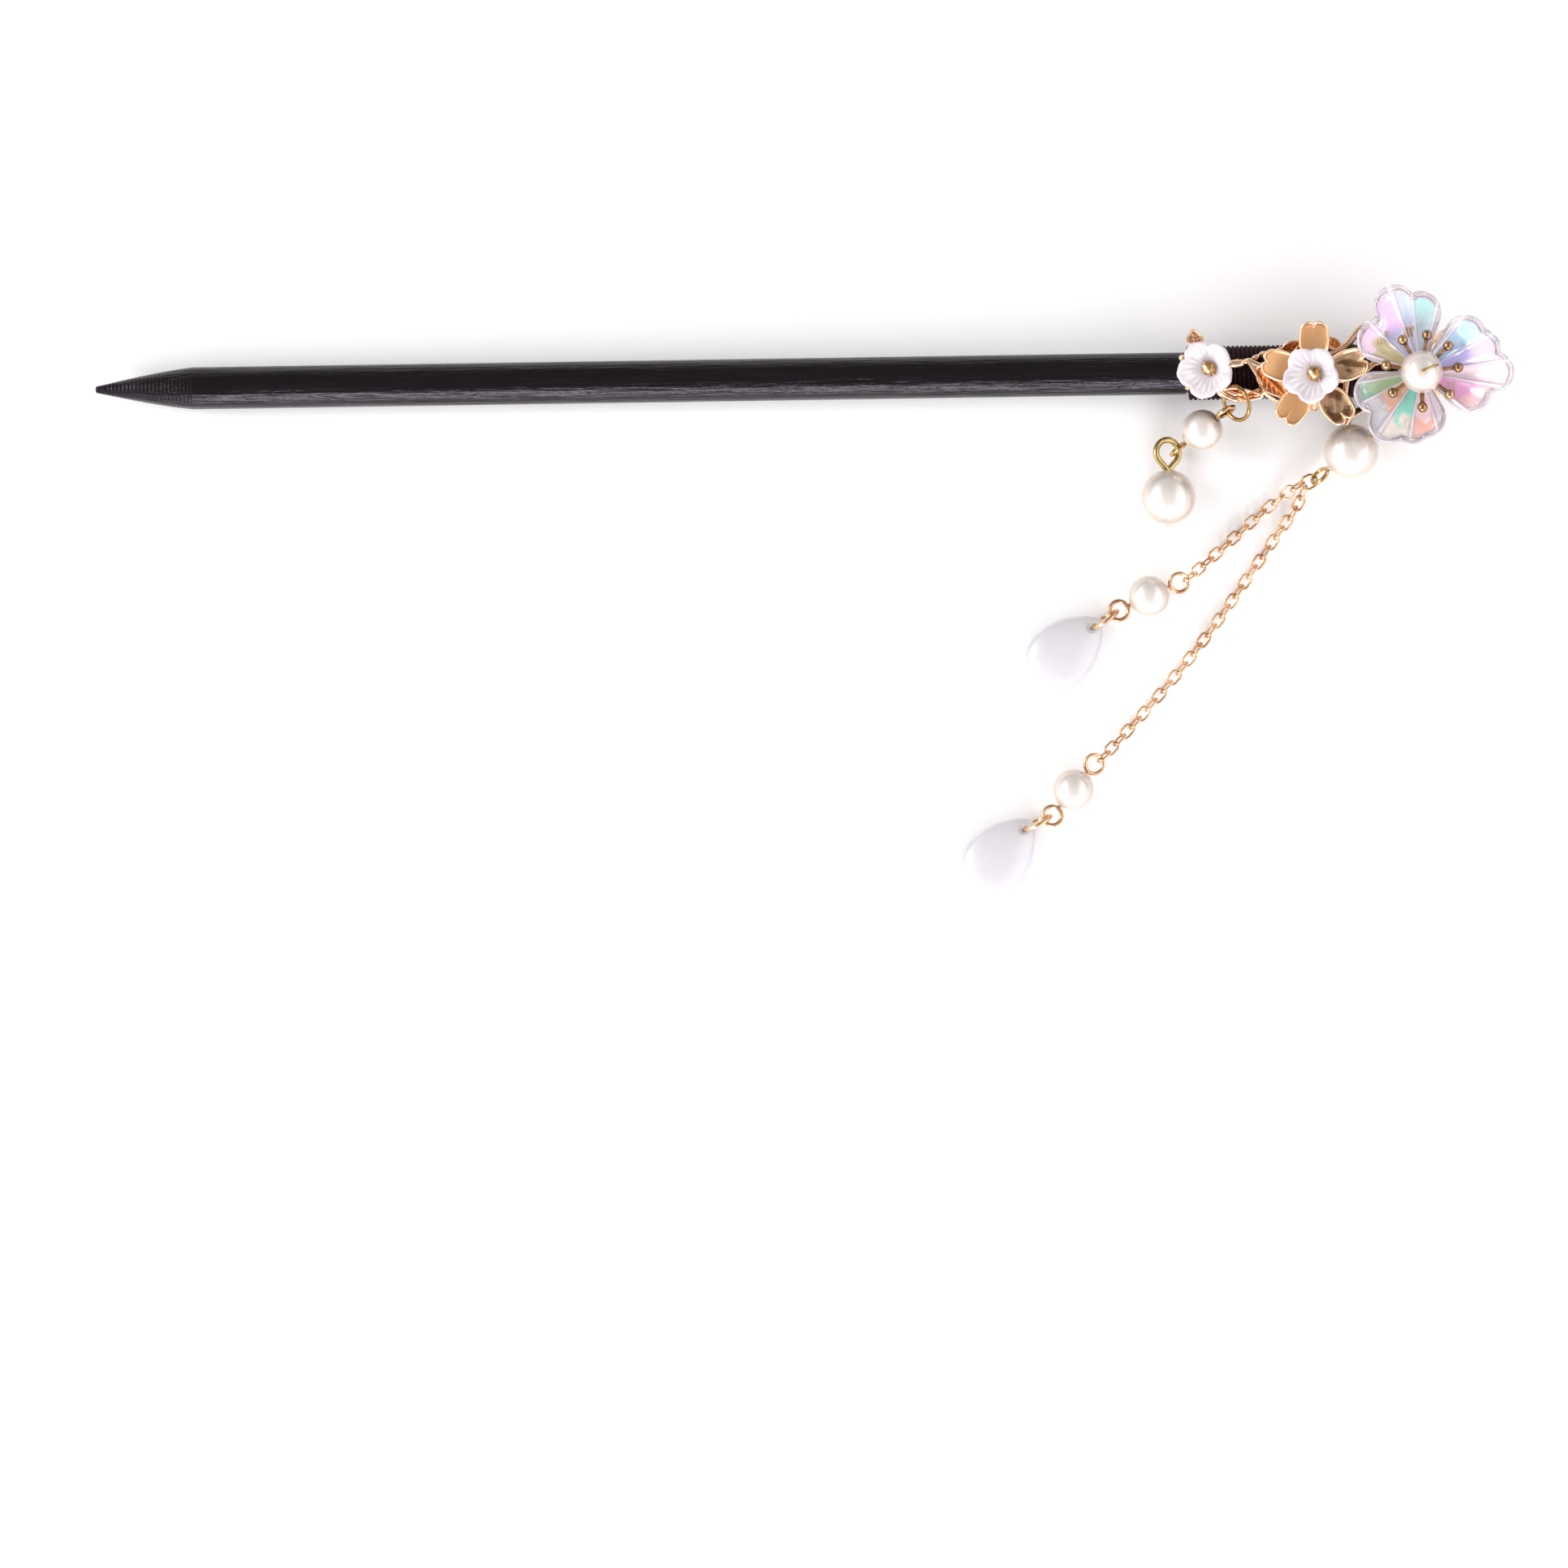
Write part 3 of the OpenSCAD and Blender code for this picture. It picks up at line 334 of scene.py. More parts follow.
def swept(path, wide, thick=None, sides=16, up=None, turn=0.0, ripple=1.0, loop=False, ends=1.0):
    """Rings carried along a path. Each is an ellipse, wide by thick in half widths, square to the path and
    turned about it. ripple swells it, by ring and side. Open ends are rounded by ends times a quarter
    circle: smaller rings, further out."""
    path = np.asarray(path, float)
    n = len(path)
    step = np.roll(path, -1, 0) - np.roll(path, 1, 0) if loop else np.gradient(path, axis=0)
    ahead = unit(step)
    up = np.eye(3)[np.argmin(np.abs(ahead).max(0))] if up is None else up
    beside = unit(np.cross(ahead, up))
    above = np.cross(beside, ahead)
    wide = np.broadcast_to(wide, n)[:, None, None]
    thick = wide if thick is None else np.broadcast_to(thick, n)[:, None, None]
    turn = np.broadcast_to(turn, n)[:, None, None]
    around = full_circle(sides)[None, :, None]
    ripple = np.asarray(ripple)[..., None]
    x, y = wide * np.cos(around) * ripple, thick * np.sin(around) * ripple
    x, y = x * np.cos(turn) - y * np.sin(turn), x * np.sin(turn) + y * np.cos(turn)
    rings = x * beside[:, None] + y * above[:, None]
    rows = path[:, None] + rings
    if not loop:
        a = np.radians([25, 48, 68, 82])[:, None, None]
        size = [np.linalg.norm(rings[k], axis=-1).max() for k in (0, -1)]
        head = path[0] - ahead[0] * size[0] * ends * np.sin(a) + rings[0] * np.cos(a)
        tail = path[-1] + ahead[-1] * size[1] * ends * np.sin(a) + rings[-1] * np.cos(a)
        rows = np.concatenate([head[::-1], rows, tail])
    return rows


def cord_of_thread(w):
    lengthwise = {"Vector": w.node("UVMap", {"uv_map": "round_and_along"}), "Scale": (9, 2400, 1)}
    noise = {"Vector": w.node("Mapping", None, lengthwise), "Scale": 3.0, "Detail": 3.0}
    fibres = w.node("TexNoise", None, noise, "Fac")
    shade = speckle(w, 420.0, 2.0)
    # Painted glints: small pale spots in the colour, smoother there, where light would catch the cord
    painted_glint = eased(w, speckle(w, 3600.0, 0.0), 0.80, 0.83)
    thread = blended(w, fibres, colour(15, 6, 8), colour(58, 29, 36))
    thread = blended(w, shade * 0.5, thread, colour(26, 12, 18))
    return {
        "Base Color": blended(w, painted_glint, thread, colour(92, 72, 80)),
        "Roughness": 0.66 - 0.3 * painted_glint,
        "Normal": relief(w, fibres, 0.00006, 0.8),
        "Specular IOR Level": 0.12,
        "Sheen Weight": 0.03, "Sheen Roughness": 0.4, "Sheen Tint": (0.8, 0.55, 0.62, 1),
    }


wound_share = np.linspace(0, 1, CORD_TURNS * TURN_STEPS + 1)
wound_a = 2 * np.pi * CORD_TURNS * wound_share
cord_r = WRAP_IN_R + CORD_T / 2
half_pitch = WRAP_LEN / CORD_TURNS / 2
helix = np.stack([
    -WRAP_BACK - WRAP_LEN + half_pitch + (WRAP_LEN - 2 * half_pitch) * wound_share,
    cord_r * np.cos(wound_a), cord_r * np.sin(wound_a),
], -1)
plies = 1 + 0.05 * np.cos(3 * (full_circle(14) - PLY_TWIST * wound_a[:, None]))
cord = swept(helix, half_pitch * 1.02, CORD_T / 2 * 0.97, 14, helix * [0, 1, 1], ripple=plies, ends=0.6)
plum_cord = finish("plum_cord", cord_of_thread)
piece("wound_cord", [banded(cord)], plum_cord, "thread", "thread_wrap", crease=80)


# The branch: one casting, plated rose gold. Round twigs lie over the cord, one of them twisted like rope and
# others with a beaded edge, with veined leaves, ridged buds, and a polished band round the back of the stick.
TWIG_R, TWIG_LIFT, BUD_R, PAD_R, HOLE_R = 0.45, 0.15, 0.55, 1.7, 1.25
LEAF_T, LEAF_CUP = 0.5, 0.3
PAD_FOOT = WRAP_R + GAP
PAD_TOP = PAD_FOOT + TWIG_LIFT + 2 * TWIG_R
LEFT_AT, RIGHT_AT, GILT_AT, CRYSTAL_AT = (-33.0, 0.45), (-18.3, -0.55), (-18.5, -0.9), (-3.4, -0.45)
BRANCH_EYE_AT, BRANCH_EYE_R, BRANCH_EYE_WIRE = (-4.3, -7.4, 1), 0.95, 0.6


def marked(w):
    """The number that each point of a piece carries."""
    return w.node("Attribute", {"attribute_name": "mark"}, out="Fac")


def gilding(name, deep, body, light, rough, pits=0.25):
    """A plated metal, in the deep colour where marked, which is painted shade, and elsewhere between body and
    light by cloudy noise, with a fine worn grain."""
    deep, body, light = colour(*deep), colour(*body), colour(*light)

    def paint(w):
        cloud = eased(w, speckle(w, 420.0, 3.0), 0.3, 0.7)
        fine = speckle(w, 7000.0, 2.0)
        return {
            "Base Color": blended(w, marked(w), blended(w, cloud, body, light), deep),
            "Metallic": 1.0,
            "Roughness": rough + 0.10 * fine + 0.06 * cloud,
            "Normal": relief(w, fine, 0.00001, pits),
        }
    return finish(name, paint)


def spot(at, z):
    """The point at a height over a place in plan."""
    return np.array([at[0], at[1], z])


def turned_by(roll, pitch, yaw):
    """Turns about X, then Y, then Z, in degrees."""
    a, b, c = np.radians([roll, pitch, yaw])
    x = np.array([[1, 0, 0], [0, math.cos(a), -math.sin(a)], [0, math.sin(a), math.cos(a)]])
    y = np.array([[math.cos(b), 0, math.sin(b)], [0, 1, 0], [-math.sin(b), 0, math.cos(b)]])
    z = np.array([[math.cos(c), -math.sin(c), 0], [math.sin(c), math.cos(c), 0], [0, 0, 1]])
    return z @ y @ x


def curved(points, steps):
    """A smooth curve through points: each span is a cubic whose slope at a point is half the step from the
    point before it to the point after it."""
    p = np.asarray(points, float)
    q = np.vstack([p[:1], p, p[-1:]])
    a, b, c, d = (k[:, None] for k in (q[:-3], q[1:-2], q[2:-1], q[3:]))
    t = (np.arange(steps) / steps)[None, :, None]
    square, cube = 2 * a - 5 * b + 4 * c - d, 3 * b - a - 3 * c + d
    spans = b + (c - a) * t / 2 + square * t ** 2 / 2 + cube * t ** 3 / 2
    return np.vstack([spans.reshape(-1, p.shape[1]), p[-1:]])


def lying(points, r=TWIG_R, steps=10):
    """A curve of radius r that keeps to the cord: its height is what is left of the cord's radius at y."""
    q = curved(points, steps)
    z = np.sqrt(np.maximum(0, (WRAP_R + GAP + TWIG_LIFT + r) ** 2 - q[:, 1] ** 2))
    return np.column_stack([q, z])


def length_along(path):
    """The length of a path from its start to each of its points."""
    return np.concatenate([[0], np.cumsum(np.linalg.norm(np.diff(path, axis=0), axis=1))])


def twig(path, a, b=None, kind="round"):
    """A twig from radius a to b: round, twisted from a flat strip, beaded, or ridged along like a bud."""
    r = np.linspace(a, a if b is None else b, len(path))
    s = length_along(path)[:, None]
    thick, sides, turn, ripple = r, 14, 0.0, 1.0
    if kind == "twisted":
        thick, turn = r * 0.62, 2 * np.pi * s[:, 0] / 2.6
    elif kind == "beaded":
        ripple = 0.86 + 0.14 * np.abs(np.sin(np.pi * s / 0.62))
    elif kind == "ridged":
        sides = 30
        ripple = 0.92 + 0.08 * np.cos(6 * full_circle(sides))[None]
    return banded(swept(path, r, thick, sides, turn=turn, ripple=ripple))


def leaf_half(t, width):
    """Half the width of a leaf at a share of its length: a rounded sine."""
    return width / 2 * np.sin(np.pi * t ** 0.85) ** 0.8


def leaf(at, az, tilt, roll, length, width, painted_shade, veins=5):
    """A leaf: thin lens-shaped rings along its midrib, as wide as a rounded sine of the way along. The top is
    cupped, with a midrib and slanting veins, and a fine beaded rim runs round it. Its top carries painted
    shade: the deep orange that gold shows in shade, strongest in the vein grooves, by an amount given per
    leaf."""
    t = np.linspace(0.015, 0.985, 40)[:, None]
    a = full_circle(40)[None]
    half, v = leaf_half(t, width), np.cos(a)
    slant = np.abs(np.sin(np.pi * veins * (t - 0.28 * np.abs(v))))
    top = np.clip(np.sin(a), 0, 1) ** 0.5
    body = LEAF_T / 2 * np.sign(np.sin(a)) * np.abs(np.sin(a)) ** 0.6 * np.minimum(1, half / 0.4)
    rib = 0.16 * np.exp(-(v * half / 0.22) ** 2)
    grooves = -0.10 * (1 - slant) ** 2 * np.minimum(1, np.abs(v) * 3) * (np.abs(v) < 0.93)
    z = LEAF_CUP * v ** 2 + body + top * (rib + grooves)
    blade = np.stack(np.broadcast_arrays(length * (t - 0.5), v * half, z), -1)
    # Painted shade: the share of the top that takes the deep orange of gold in shade, most in the vein grooves
    dark = painted_shade * np.clip(1.15 * top * (np.abs(v) < 0.9) * (1 - 0.35 * slant), 0, 1)
    edge_t = np.concatenate([np.linspace(0.02, 0.98, 40), np.linspace(0.98, 0.02, 40)])
    edge_y = 0.97 * np.repeat([1, -1], 40) * leaf_half(edge_t, width)
    edge = np.stack([length * (edge_t - 0.5), edge_y, np.full(80, LEAF_CUP + 0.08)], -1)
    beads = 0.88 + 0.12 * np.abs(np.sin(np.pi * length_along(edge) / 0.5))[:, None]
    rim = swept(edge, 0.19, sides=10, up=(0, 0, 1), ripple=beads, loop=True)
    turn = turned_by(roll, -tilt, az).T
    return [banded(blade @ turn + at, mark=dark), banded(rim @ turn + at, True)]


def pad(at):
    """A washer whose section is a squared ellipse. Its hole is as wide as the well in a glass flower."""
    a = np.radians(np.arange(-90, 241, 30))
    out, up = (np.sign(k) * np.abs(k) ** 0.5 for k in (np.cos(a), np.sin(a)))
    r = (HOLE_R + PAD_R) / 2 + (PAD_R - HOLE_R) / 2 * out
    z = (PAD_FOOT + PAD_TOP) / 2 + (PAD_TOP - PAD_FOOT) / 2 * up
    return banded(lathed(z, r, 48, upright=True) + spot(at, 0), True)


band_share = np.linspace(0, 1, 81)
band_a = np.radians(10 - 200 * band_share)
band_back = -BAND_NEAR - BAND_SWEEP * band_share ** 4
band_out = WRAP_R + BAND_GAP + BAND_R + BAND_FLARE * np.abs(2 * band_share - 1) ** 4
band = np.stack([band_back, band_out * np.cos(band_a), band_out * np.sin(band_a)], -1)
half_round = np.where(np.sin(full_circle(24)) > 0, 0.8, 1.0)[None]
hoop = swept(band, BAND_R, BAND_R, 24, -band * [0, 1, 1], ripple=half_round)
hook = curved([
    [-33.8, 0.3, 4.5], [-32.6, -2.1, 4.6], [-31, -3.4, 4.2], [-29.6, -3.95, 4.3], [-28, -3.9, 3.4],
    [-26.6, -3.4, 3.2], [-25.6, -2.8, 3.7],
], 10)
arm = curved([[-1.6, -1.6, 4.3], [-1.2, -4.4, 3.4], [-2.4, -6.6, 1.8], [-3.3, -7.15, 1.25]], 10)
bar = curved([
    band[0], [-10.9, 6.3, 1.8], [-12.6, 5, 2.6], [-13.8, 3.6, 3.3], [-15.6, 2.5, 3.95], [-17.6, 1.5, 4.3],
], 10)
stay = curved([band[-1], [-14.1, -5.2, 2.9], [-14.2, -3.2, 3.9], [-13.8, -1, 4.5]], 10)
spur = curved([[-18.6, -0.6, 4.5], [-18.5, -3.6, 3.4], [-18.5, -5.2, 2.4]], 10)
rope = lying([[-33.8, 0.3], [-30.2, 1.3], [-27.8, 1.5], [-25.8, 2.5], [-22.8, 3.2], [-20.6, 4]])
fork = lying([[-27.8, 1.5], [-26.6, -0.5], [-25.6, -2.8], [-24.2, -3.9], [-23.2, -4.3]])
spine = lying([[-27.8, 1.5], [-24, 0], [-18.6, -0.6], [-14.6, -1.4], [-11.5, -0.2], [-8.9, 1.1], CRYSTAL_AT])
# The eye that the main strand hangs on, a ring of round wire
eye_ring = lathed([0.0], [BRANCH_EYE_R], 48, upright=True)[0]
eye = swept(eye_ring, BRANCH_EYE_WIRE / 2, sides=14, up=(0, 0, 1), loop=True) @ turned_by(80, 0, 10).T
twigs = [
    pad(LEFT_AT), pad(RIGHT_AT), pad(CRYSTAL_AT),
    twig(rope, TWIG_R, TWIG_R * 0.75, "twisted"),
    twig(fork, TWIG_R, TWIG_R * 0.8, "beaded"),
    twig(spine, TWIG_R),
    twig(hook + [0, 0.75, 0.05], TWIG_R * 0.6, TWIG_R * 0.8),
    twig(hook, TWIG_R * 0.9, TWIG_R),
    twig(lying([[-30.1, 1.1], [-29.5, 1.12], [-28.9, 1.2]], 0.55), 0.6, 0.55),
    twig(lying([[-26.4, 0.9], [-25.7, 0.75]], 0.35, 6), 0.36, 0.4),
    twig(lying([[-33.8, 0.3], [-34.6, 2.6], [-35.3, 3.6]]), TWIG_R),
    twig(lying([[-33.8, 0.3], [-36, 1.4], [-37.2, 2]], BUD_R), TWIG_R, BUD_R, "ridged"),
    twig(lying([[-33.8, 0.3], [-35.6, -1.2], [-36.4, -2]], BUD_R), TWIG_R, BUD_R, "ridged"),
    twig(spur, TWIG_R, BUD_R, "ridged"),
    twig(lying([CRYSTAL_AT, [-0.6, 2.4], [3, 1.2], [5, -1]]), TWIG_R, TWIG_R, "beaded"),
    twig(lying([CRYSTAL_AT, [-1, -2.8], [1.3, -3.6], [4, -3.4]]), TWIG_R, TWIG_R * 0.8),
    twig(arm, TWIG_R), twig(bar, BAND_R, TWIG_R), twig(stay, BAND_R, TWIG_R),
    banded(eye + BRANCH_EYE_AT, True),
]
buds = []
for tip in [[-6.7, 7.2, 2.2], [-3.7, 5.6, 1.4], [-0.2, 5, 1.6], [-6.6, -5.6, 2.4], [-3.4, -4.9, 2.8]]:
    bend = [(CRYSTAL_AT[0] + tip[0]) / 2, tip[1] * 0.62, 4]
    stem = curved([spot(CRYSTAL_AT, PAD_TOP - 0.5), bend, tip], 10)
    nib = curved([stem[-3], stem[-1]], 8)
    buds += [twig(stem, TWIG_R * 0.8, BUD_R * 0.9), twig(nib, BUD_R * 0.8, BUD_R, "ridged")]
# Each leaf's seventh value is the painted shade on its top, most where it lies under a flower
leaves = [
    *leaf([-35.3, 4.6, 2.5], 100, -35, 0, 3.2, 2.2, 0.5),
    *leaf([-24.5, -1.5, 4.5], -46, 0, 16, 6.0, 3.1, 1.0, 7),
    *leaf([-29.0, -3.05, 3.95], -6, 4, 30, 6.6, 1.9, 0.8, 3),
    *leaf([-21.8, 3.55, 3.5], 30, 10, 30, 3, 1.8, 1.0),
    *leaf([-16, 3.7, 3.45], 150, 0, 30, 3, 1.8, 1.0),
    *leaf([5.3, -2.6, 3.8], -86, 0, 0, 3.6, 2.1, 0.3),
    *leaf(band[-1] + [0.2, -0.2, 0], -100, 0, 60, 2.4, 1.6, 0.3),
]
rose_gold = gilding("rose_gold", (206, 112, 50), (226, 176, 136), (248, 218, 188), 0.12)
for part, grids in (("twigs", twigs), ("band", [banded(hoop)]), ("buds", buds)):
    piece("branch_" + part, grids, rose_gold, "gilt_metal", "branch", crease=60)
piece("branch_leaves", leaves, rose_gold, "gilt_metal", "branch")


# The gilt blossom: five stamped petals, their floors brushed satin and their rims polished, with a notch in
# each tip. It is threaded under the right glass flower. Two petals are worn darker and crinkled.
GILT_REACH, GILT_HALF, GILT_MID, GILT_FLOOR, GILT_LIFT = 8.0, 2.25, 5.0, 0.4, 1.1
GILT_Z = PAD_TOP + GAP


def gilt_petal(direction, dark):
    """A petal on rings about its own middle. The edge is an ellipse with a notch at the tip. The floor is a
    shallow dish. The rim is a rounded ridge half a millimetre wide, and wider at the notch."""
    a = full_circle(120)
    long, half = GILT_REACH - GILT_MID, GILT_HALF
    tip = np.abs((a + np.pi) % (2 * np.pi) - np.pi)
    edge = long * half / np.sqrt((half * np.cos(a)) ** 2 + (long * np.sin(a)) ** 2)
    edge = edge * (1 + 0.10 * np.exp(-((tip - 0.66) / 0.32) ** 2)) - 0.6 * np.exp(-(tip / 0.12) ** 2)
    broad = 0.52 + 0.36 * np.exp(-(tip / 0.2) ** 2)
    floor = np.array([0.02, 0.15, 0.3, 0.45, 0.6, 0.75, 0.9, 1.0])[:, None]
    ridge_off = np.array([0.98, 0.9, 0.78, 0.62, 0.44, 0.26, 0.1, 0.03, 0.0])[:, None]
    ridge_z = [0.02, 0.12, 0.24, 0.33, 0.36, 0.32, 0.22, 0.12, -0.1]
    floor_r, ridge_r = floor * (edge - broad - 0.06), edge - ridge_off * broad
    r = np.vstack([floor_r, ridge_r, edge - 0.02, edge * 0.6, edge * 0.05])
    x, y = GILT_MID + r * np.cos(a), r * np.sin(a)
    top = np.concatenate([np.zeros(8), ridge_z, [-GILT_FLOOR] * 3])[:, None]
    z = GILT_FLOOR + GILT_LIFT * (np.hypot(x, y) / GILT_REACH) ** 2 + top
    z[:8] -= 0.08 * (1 - floor ** 2)
    if dark:
        waves = np.sin(2.1 * x + 1.7 * np.sin(1.9 * y)) * np.sin(2.6 * y + x)
        z[:8] += 0.06 * waves[:8] * (1 - floor ** 4)
    rows = np.stack([x, y, z], -1) @ turned_by(0, 0, direction).T + spot(GILT_AT, GILT_Z)
    # The rim rows are marked for a lighter colour, partly a painted highlight, and the row before them for
    # painted shade
    on_rim = np.concatenate([np.zeros(8), [0.45], np.ones(8), np.zeros(3)])[:, None]
    return banded(rows, mark=on_rim + 2 * dark * (1 - on_rim))


def gilt_hub():
    """The ring of metal that joins the petals, round the hole for the tie wire."""
    inner = HOLE_R + 0.3
    r = np.array([inner, inner + 0.05, 2.0, 2.7, 2.75, 2.7, 2.0, inner + 0.05])
    z = np.array([0.05, 0.0, 0.0, -0.03, -0.15, -0.3, -0.36, -0.36]) + GILT_FLOOR
    rows = lathed(z + GILT_LIFT * (r / GILT_REACH) ** 2, r, 60, upright=True)
    return banded(rows + spot(GILT_AT, GILT_Z), True)


def satin_and_polish(w):
    mark = marked(w)
    # The rims are polished; their lighter colour is also a painted highlight, and the groove inside them is
    # painted shade
    rim = eased(w, mark, 0.3, 0.8) * (1 - eased(w, mark, 1.2, 1.6))
    groove = eased(w, mark, 0.05, 0.4) * (1 - eased(w, mark, 0.5, 0.85))
    dark = eased(w, mark, 1.3, 1.8)
    grain = speckle(w, 9000.0, 3.0)
    crinkles = speckle(w, 1500.0, 5.0, distortion=1.5)
    streak = eased(w, speckle(w, 320.0, 2.0, (1, 2.2, 1)), 0.38, 0.62)
    tarnish = eased(w, crinkles * 0.35 + streak * 0.65, 0.2, 0.8)
    floor = blended(w, speckle(w, 260.0, 3.0), colour(226, 172, 118), colour(238, 198, 150))
    aged = blended(w, tarnish, colour(134, 100, 70), colour(214, 178, 142))
    gilt = blended(w, rim, blended(w, dark, floor, aged), colour(250, 220, 184))
    return {
        "Base Color": blended(w, groove * 0.6, gilt, colour(150, 92, 48)),
        "Metallic": 1.0,
        "Roughness": 0.46 - 0.36 * rim - 0.22 * dark + 0.08 * grain,
        "Normal": relief(w, grain * (1 - dark) + crinkles * dark * 5.0, 0.00001, 0.5),
    }


petals = [gilt_petal(*k) for k in ((90, 0), (162, 0), (234, 0), (306, 1), (18, 1))]
satin_gilt = finish("satin_gilt", satin_and_polish)
piece("gilt_petals", petals + [gilt_hub()], satin_gilt, "gilt_metal", "gilt_blossom", crease=60)


# The crystal blossom: three fluted petals of clear resin in one shell, cast on a film that shines sea green,
# sky blue, lilac and rose by turns. A thick clear rim runs round them, with drops where it is nipped.
CRYSTAL_REACH, CRYSTAL_RISE, CRYSTAL_WALL, SCALLOP_R, CRYSTAL_HUB = 13.0, 5.0, 0.9, 2.9, 3.2
CENTRE_HOLE_R = 0.6
CRYSTAL_SPOT = spot(CRYSTAL_AT, PAD_TOP + GAP)
# The round scallops of the outline: direction in degrees and share of the reach
SCALLOPS = np.array([
    [144, 0.82], [112, 1], [91, 0.87], [38, 0.84], [20, 0.9], [358, 1], [336, 0.8],
    [204, 0.8], [236, 0.9], [258, 0.81], [273, 0.73],
])
# The petals: direction and half width in degrees, share of the reach, and steepness
PETALS = np.array([[121, 44, 0.78, 1], [8, 50, 0.76, 1], [236, 50, 0.72, 1.3]])
# Cells between the ridges: from and to in degrees, and colours near the middle and near the rim
CELLS = [
    (-12, 6, (250, 226, 240), (252, 214, 226)), (6, 27, (172, 168, 240), (214, 190, 240)),
    (27, 52, (150, 196, 238), (168, 222, 246)), (52, 76, (232, 226, 240), (244, 238, 248)),
    (76, 97, (178, 206, 224), (160, 226, 220)), (97, 110, (206, 196, 228), (190, 206, 232)),
    (110, 137, (186, 186, 232), (228, 178, 236)), (137, 162, (196, 178, 104), (236, 190, 228)),
    (162, 190, (220, 206, 190), (236, 226, 230)), (190, 207, (150, 196, 130), (108, 178, 142)),
    (207, 234, (238, 172, 136), (206, 206, 216)), (234, 259, (96, 222, 200), (240, 226, 214)),
    (259, 284, (244, 206, 216), (248, 178, 156)), (284, 318, (240, 226, 240), (244, 238, 244)),
    (318, 348, (238, 150, 216), (250, 190, 196)),
]
# Gold of the branch that shows through the resin: middle, half width and half height in mm, and strength
BEHIND = [
    (-1.7, 5.6, 0.75, 0.85, 0.85), (-4.9, 5.4, 0.4, 0.45, 0.5), (-5.7, 4.3, 0.5, 0.4, 0.5),
    (4.1, -2.1, 0.8, 0.8, 0.45), (-3.9, -3.0, 0.9, 0.6, 0.5), (-2.2, -7.4, 0.5, 0.9, 0.3),
]
# Drops of resin where the rim is nipped: direction and distance in from the outline
RESIN_DROPS = np.array([
    [114, 0.3], [122, 0.5], [130, 0.3], [133, 0.9], [139, 0.4], [146, 0.3], [153, 0.4], [98, 0.3], [95, 0.8],
    [31, 0.4], [27, 0.8], [20, 0.3], [13, 0.4], [-13, 0.3], [-17, 0.7], [-20, 0.3], [207, 0.4], [212, 0.9],
    [219, 0.4], [248, 0.4], [252, 0.3], [258, 0.5], [266, 0.3], [271, 0.4],
])


def polar(th, r, z):
    """Points at directions in degrees, radii and heights."""
    return np.stack(np.broadcast_arrays(r * np.cos(np.radians(th)), r * np.sin(np.radians(th)), z), -1)


def turned_to(th, at):
    """th less at, in degrees, brought between -180 and 180."""
    return (th - at + 180) % 360 - 180


def crystal_edge(th):
    """The outline, as a radius at a direction: the furthest of the hub, the scallops and the petal bodies."""
    d = turned_to(th[:, None], SCALLOPS[:, 0])
    c = SCALLOPS[:, 1] * CRYSTAL_REACH - SCALLOP_R
    off = c * np.sin(np.radians(d))
    inside = (np.abs(d) < 90) & (np.abs(off) < SCALLOP_R)
    further = np.sqrt(np.maximum(0, SCALLOP_R ** 2 - off ** 2))
    rounds = np.where(inside, c * np.cos(np.radians(d)) + further, 0)
    t = np.abs(turned_to(th[:, None], PETALS[:, 0]) / PETALS[:, 1])
    bodies = PETALS[:, 2] * CRYSTAL_REACH * np.maximum(0, 1 - t ** 3) ** 0.35
    return np.maximum(CRYSTAL_HUB, np.maximum(rounds.max(1), bodies.max(1)))


def crystal_lift(th, r):
    """The height of the shell: a power of the radius, steeper in the lower petal."""
    near = np.abs(turned_to(th[:, None], PETALS[:, 0])) < 62
    steep = np.where(near, PETALS[:, 3], 1).max(-1)
    return steep * CRYSTAL_RISE * (r / CRYSTAL_REACH) ** 1.6


def cell_bowl(th):
    """0 on the ridges, and a parabola up to 1 in the middle of each cell."""
    x = np.zeros_like(th)
    for low, high, _, _ in CELLS:
        inside = (turned_to(th, low) >= 0) & (turned_to(th, low) < high - low)
        x = np.where(inside, turned_to(th, low) / (high - low), x)
    return 4 * x * (1 - x)


def outline_by_length(count):
    """The directions of evenly spaced points of the crystal's outline."""
    th = np.linspace(0, 360, 14401)
    s = length_along(polar(th, crystal_edge(th), 0))
    return np.interp(np.linspace(0, s[-1], count + 1)[:-1], s, th)


def cell_ramp(which):
    """Colours by share of a turn from -12 degrees: each cell keeps nearly one colour up to its ridges."""
    return [
        (min(0.9999, at / 360), colour(*tints[which]))
        for low, high, *tints in CELLS for at in (low + 12 + 2.5, high + 12 - 2.5)
    ]


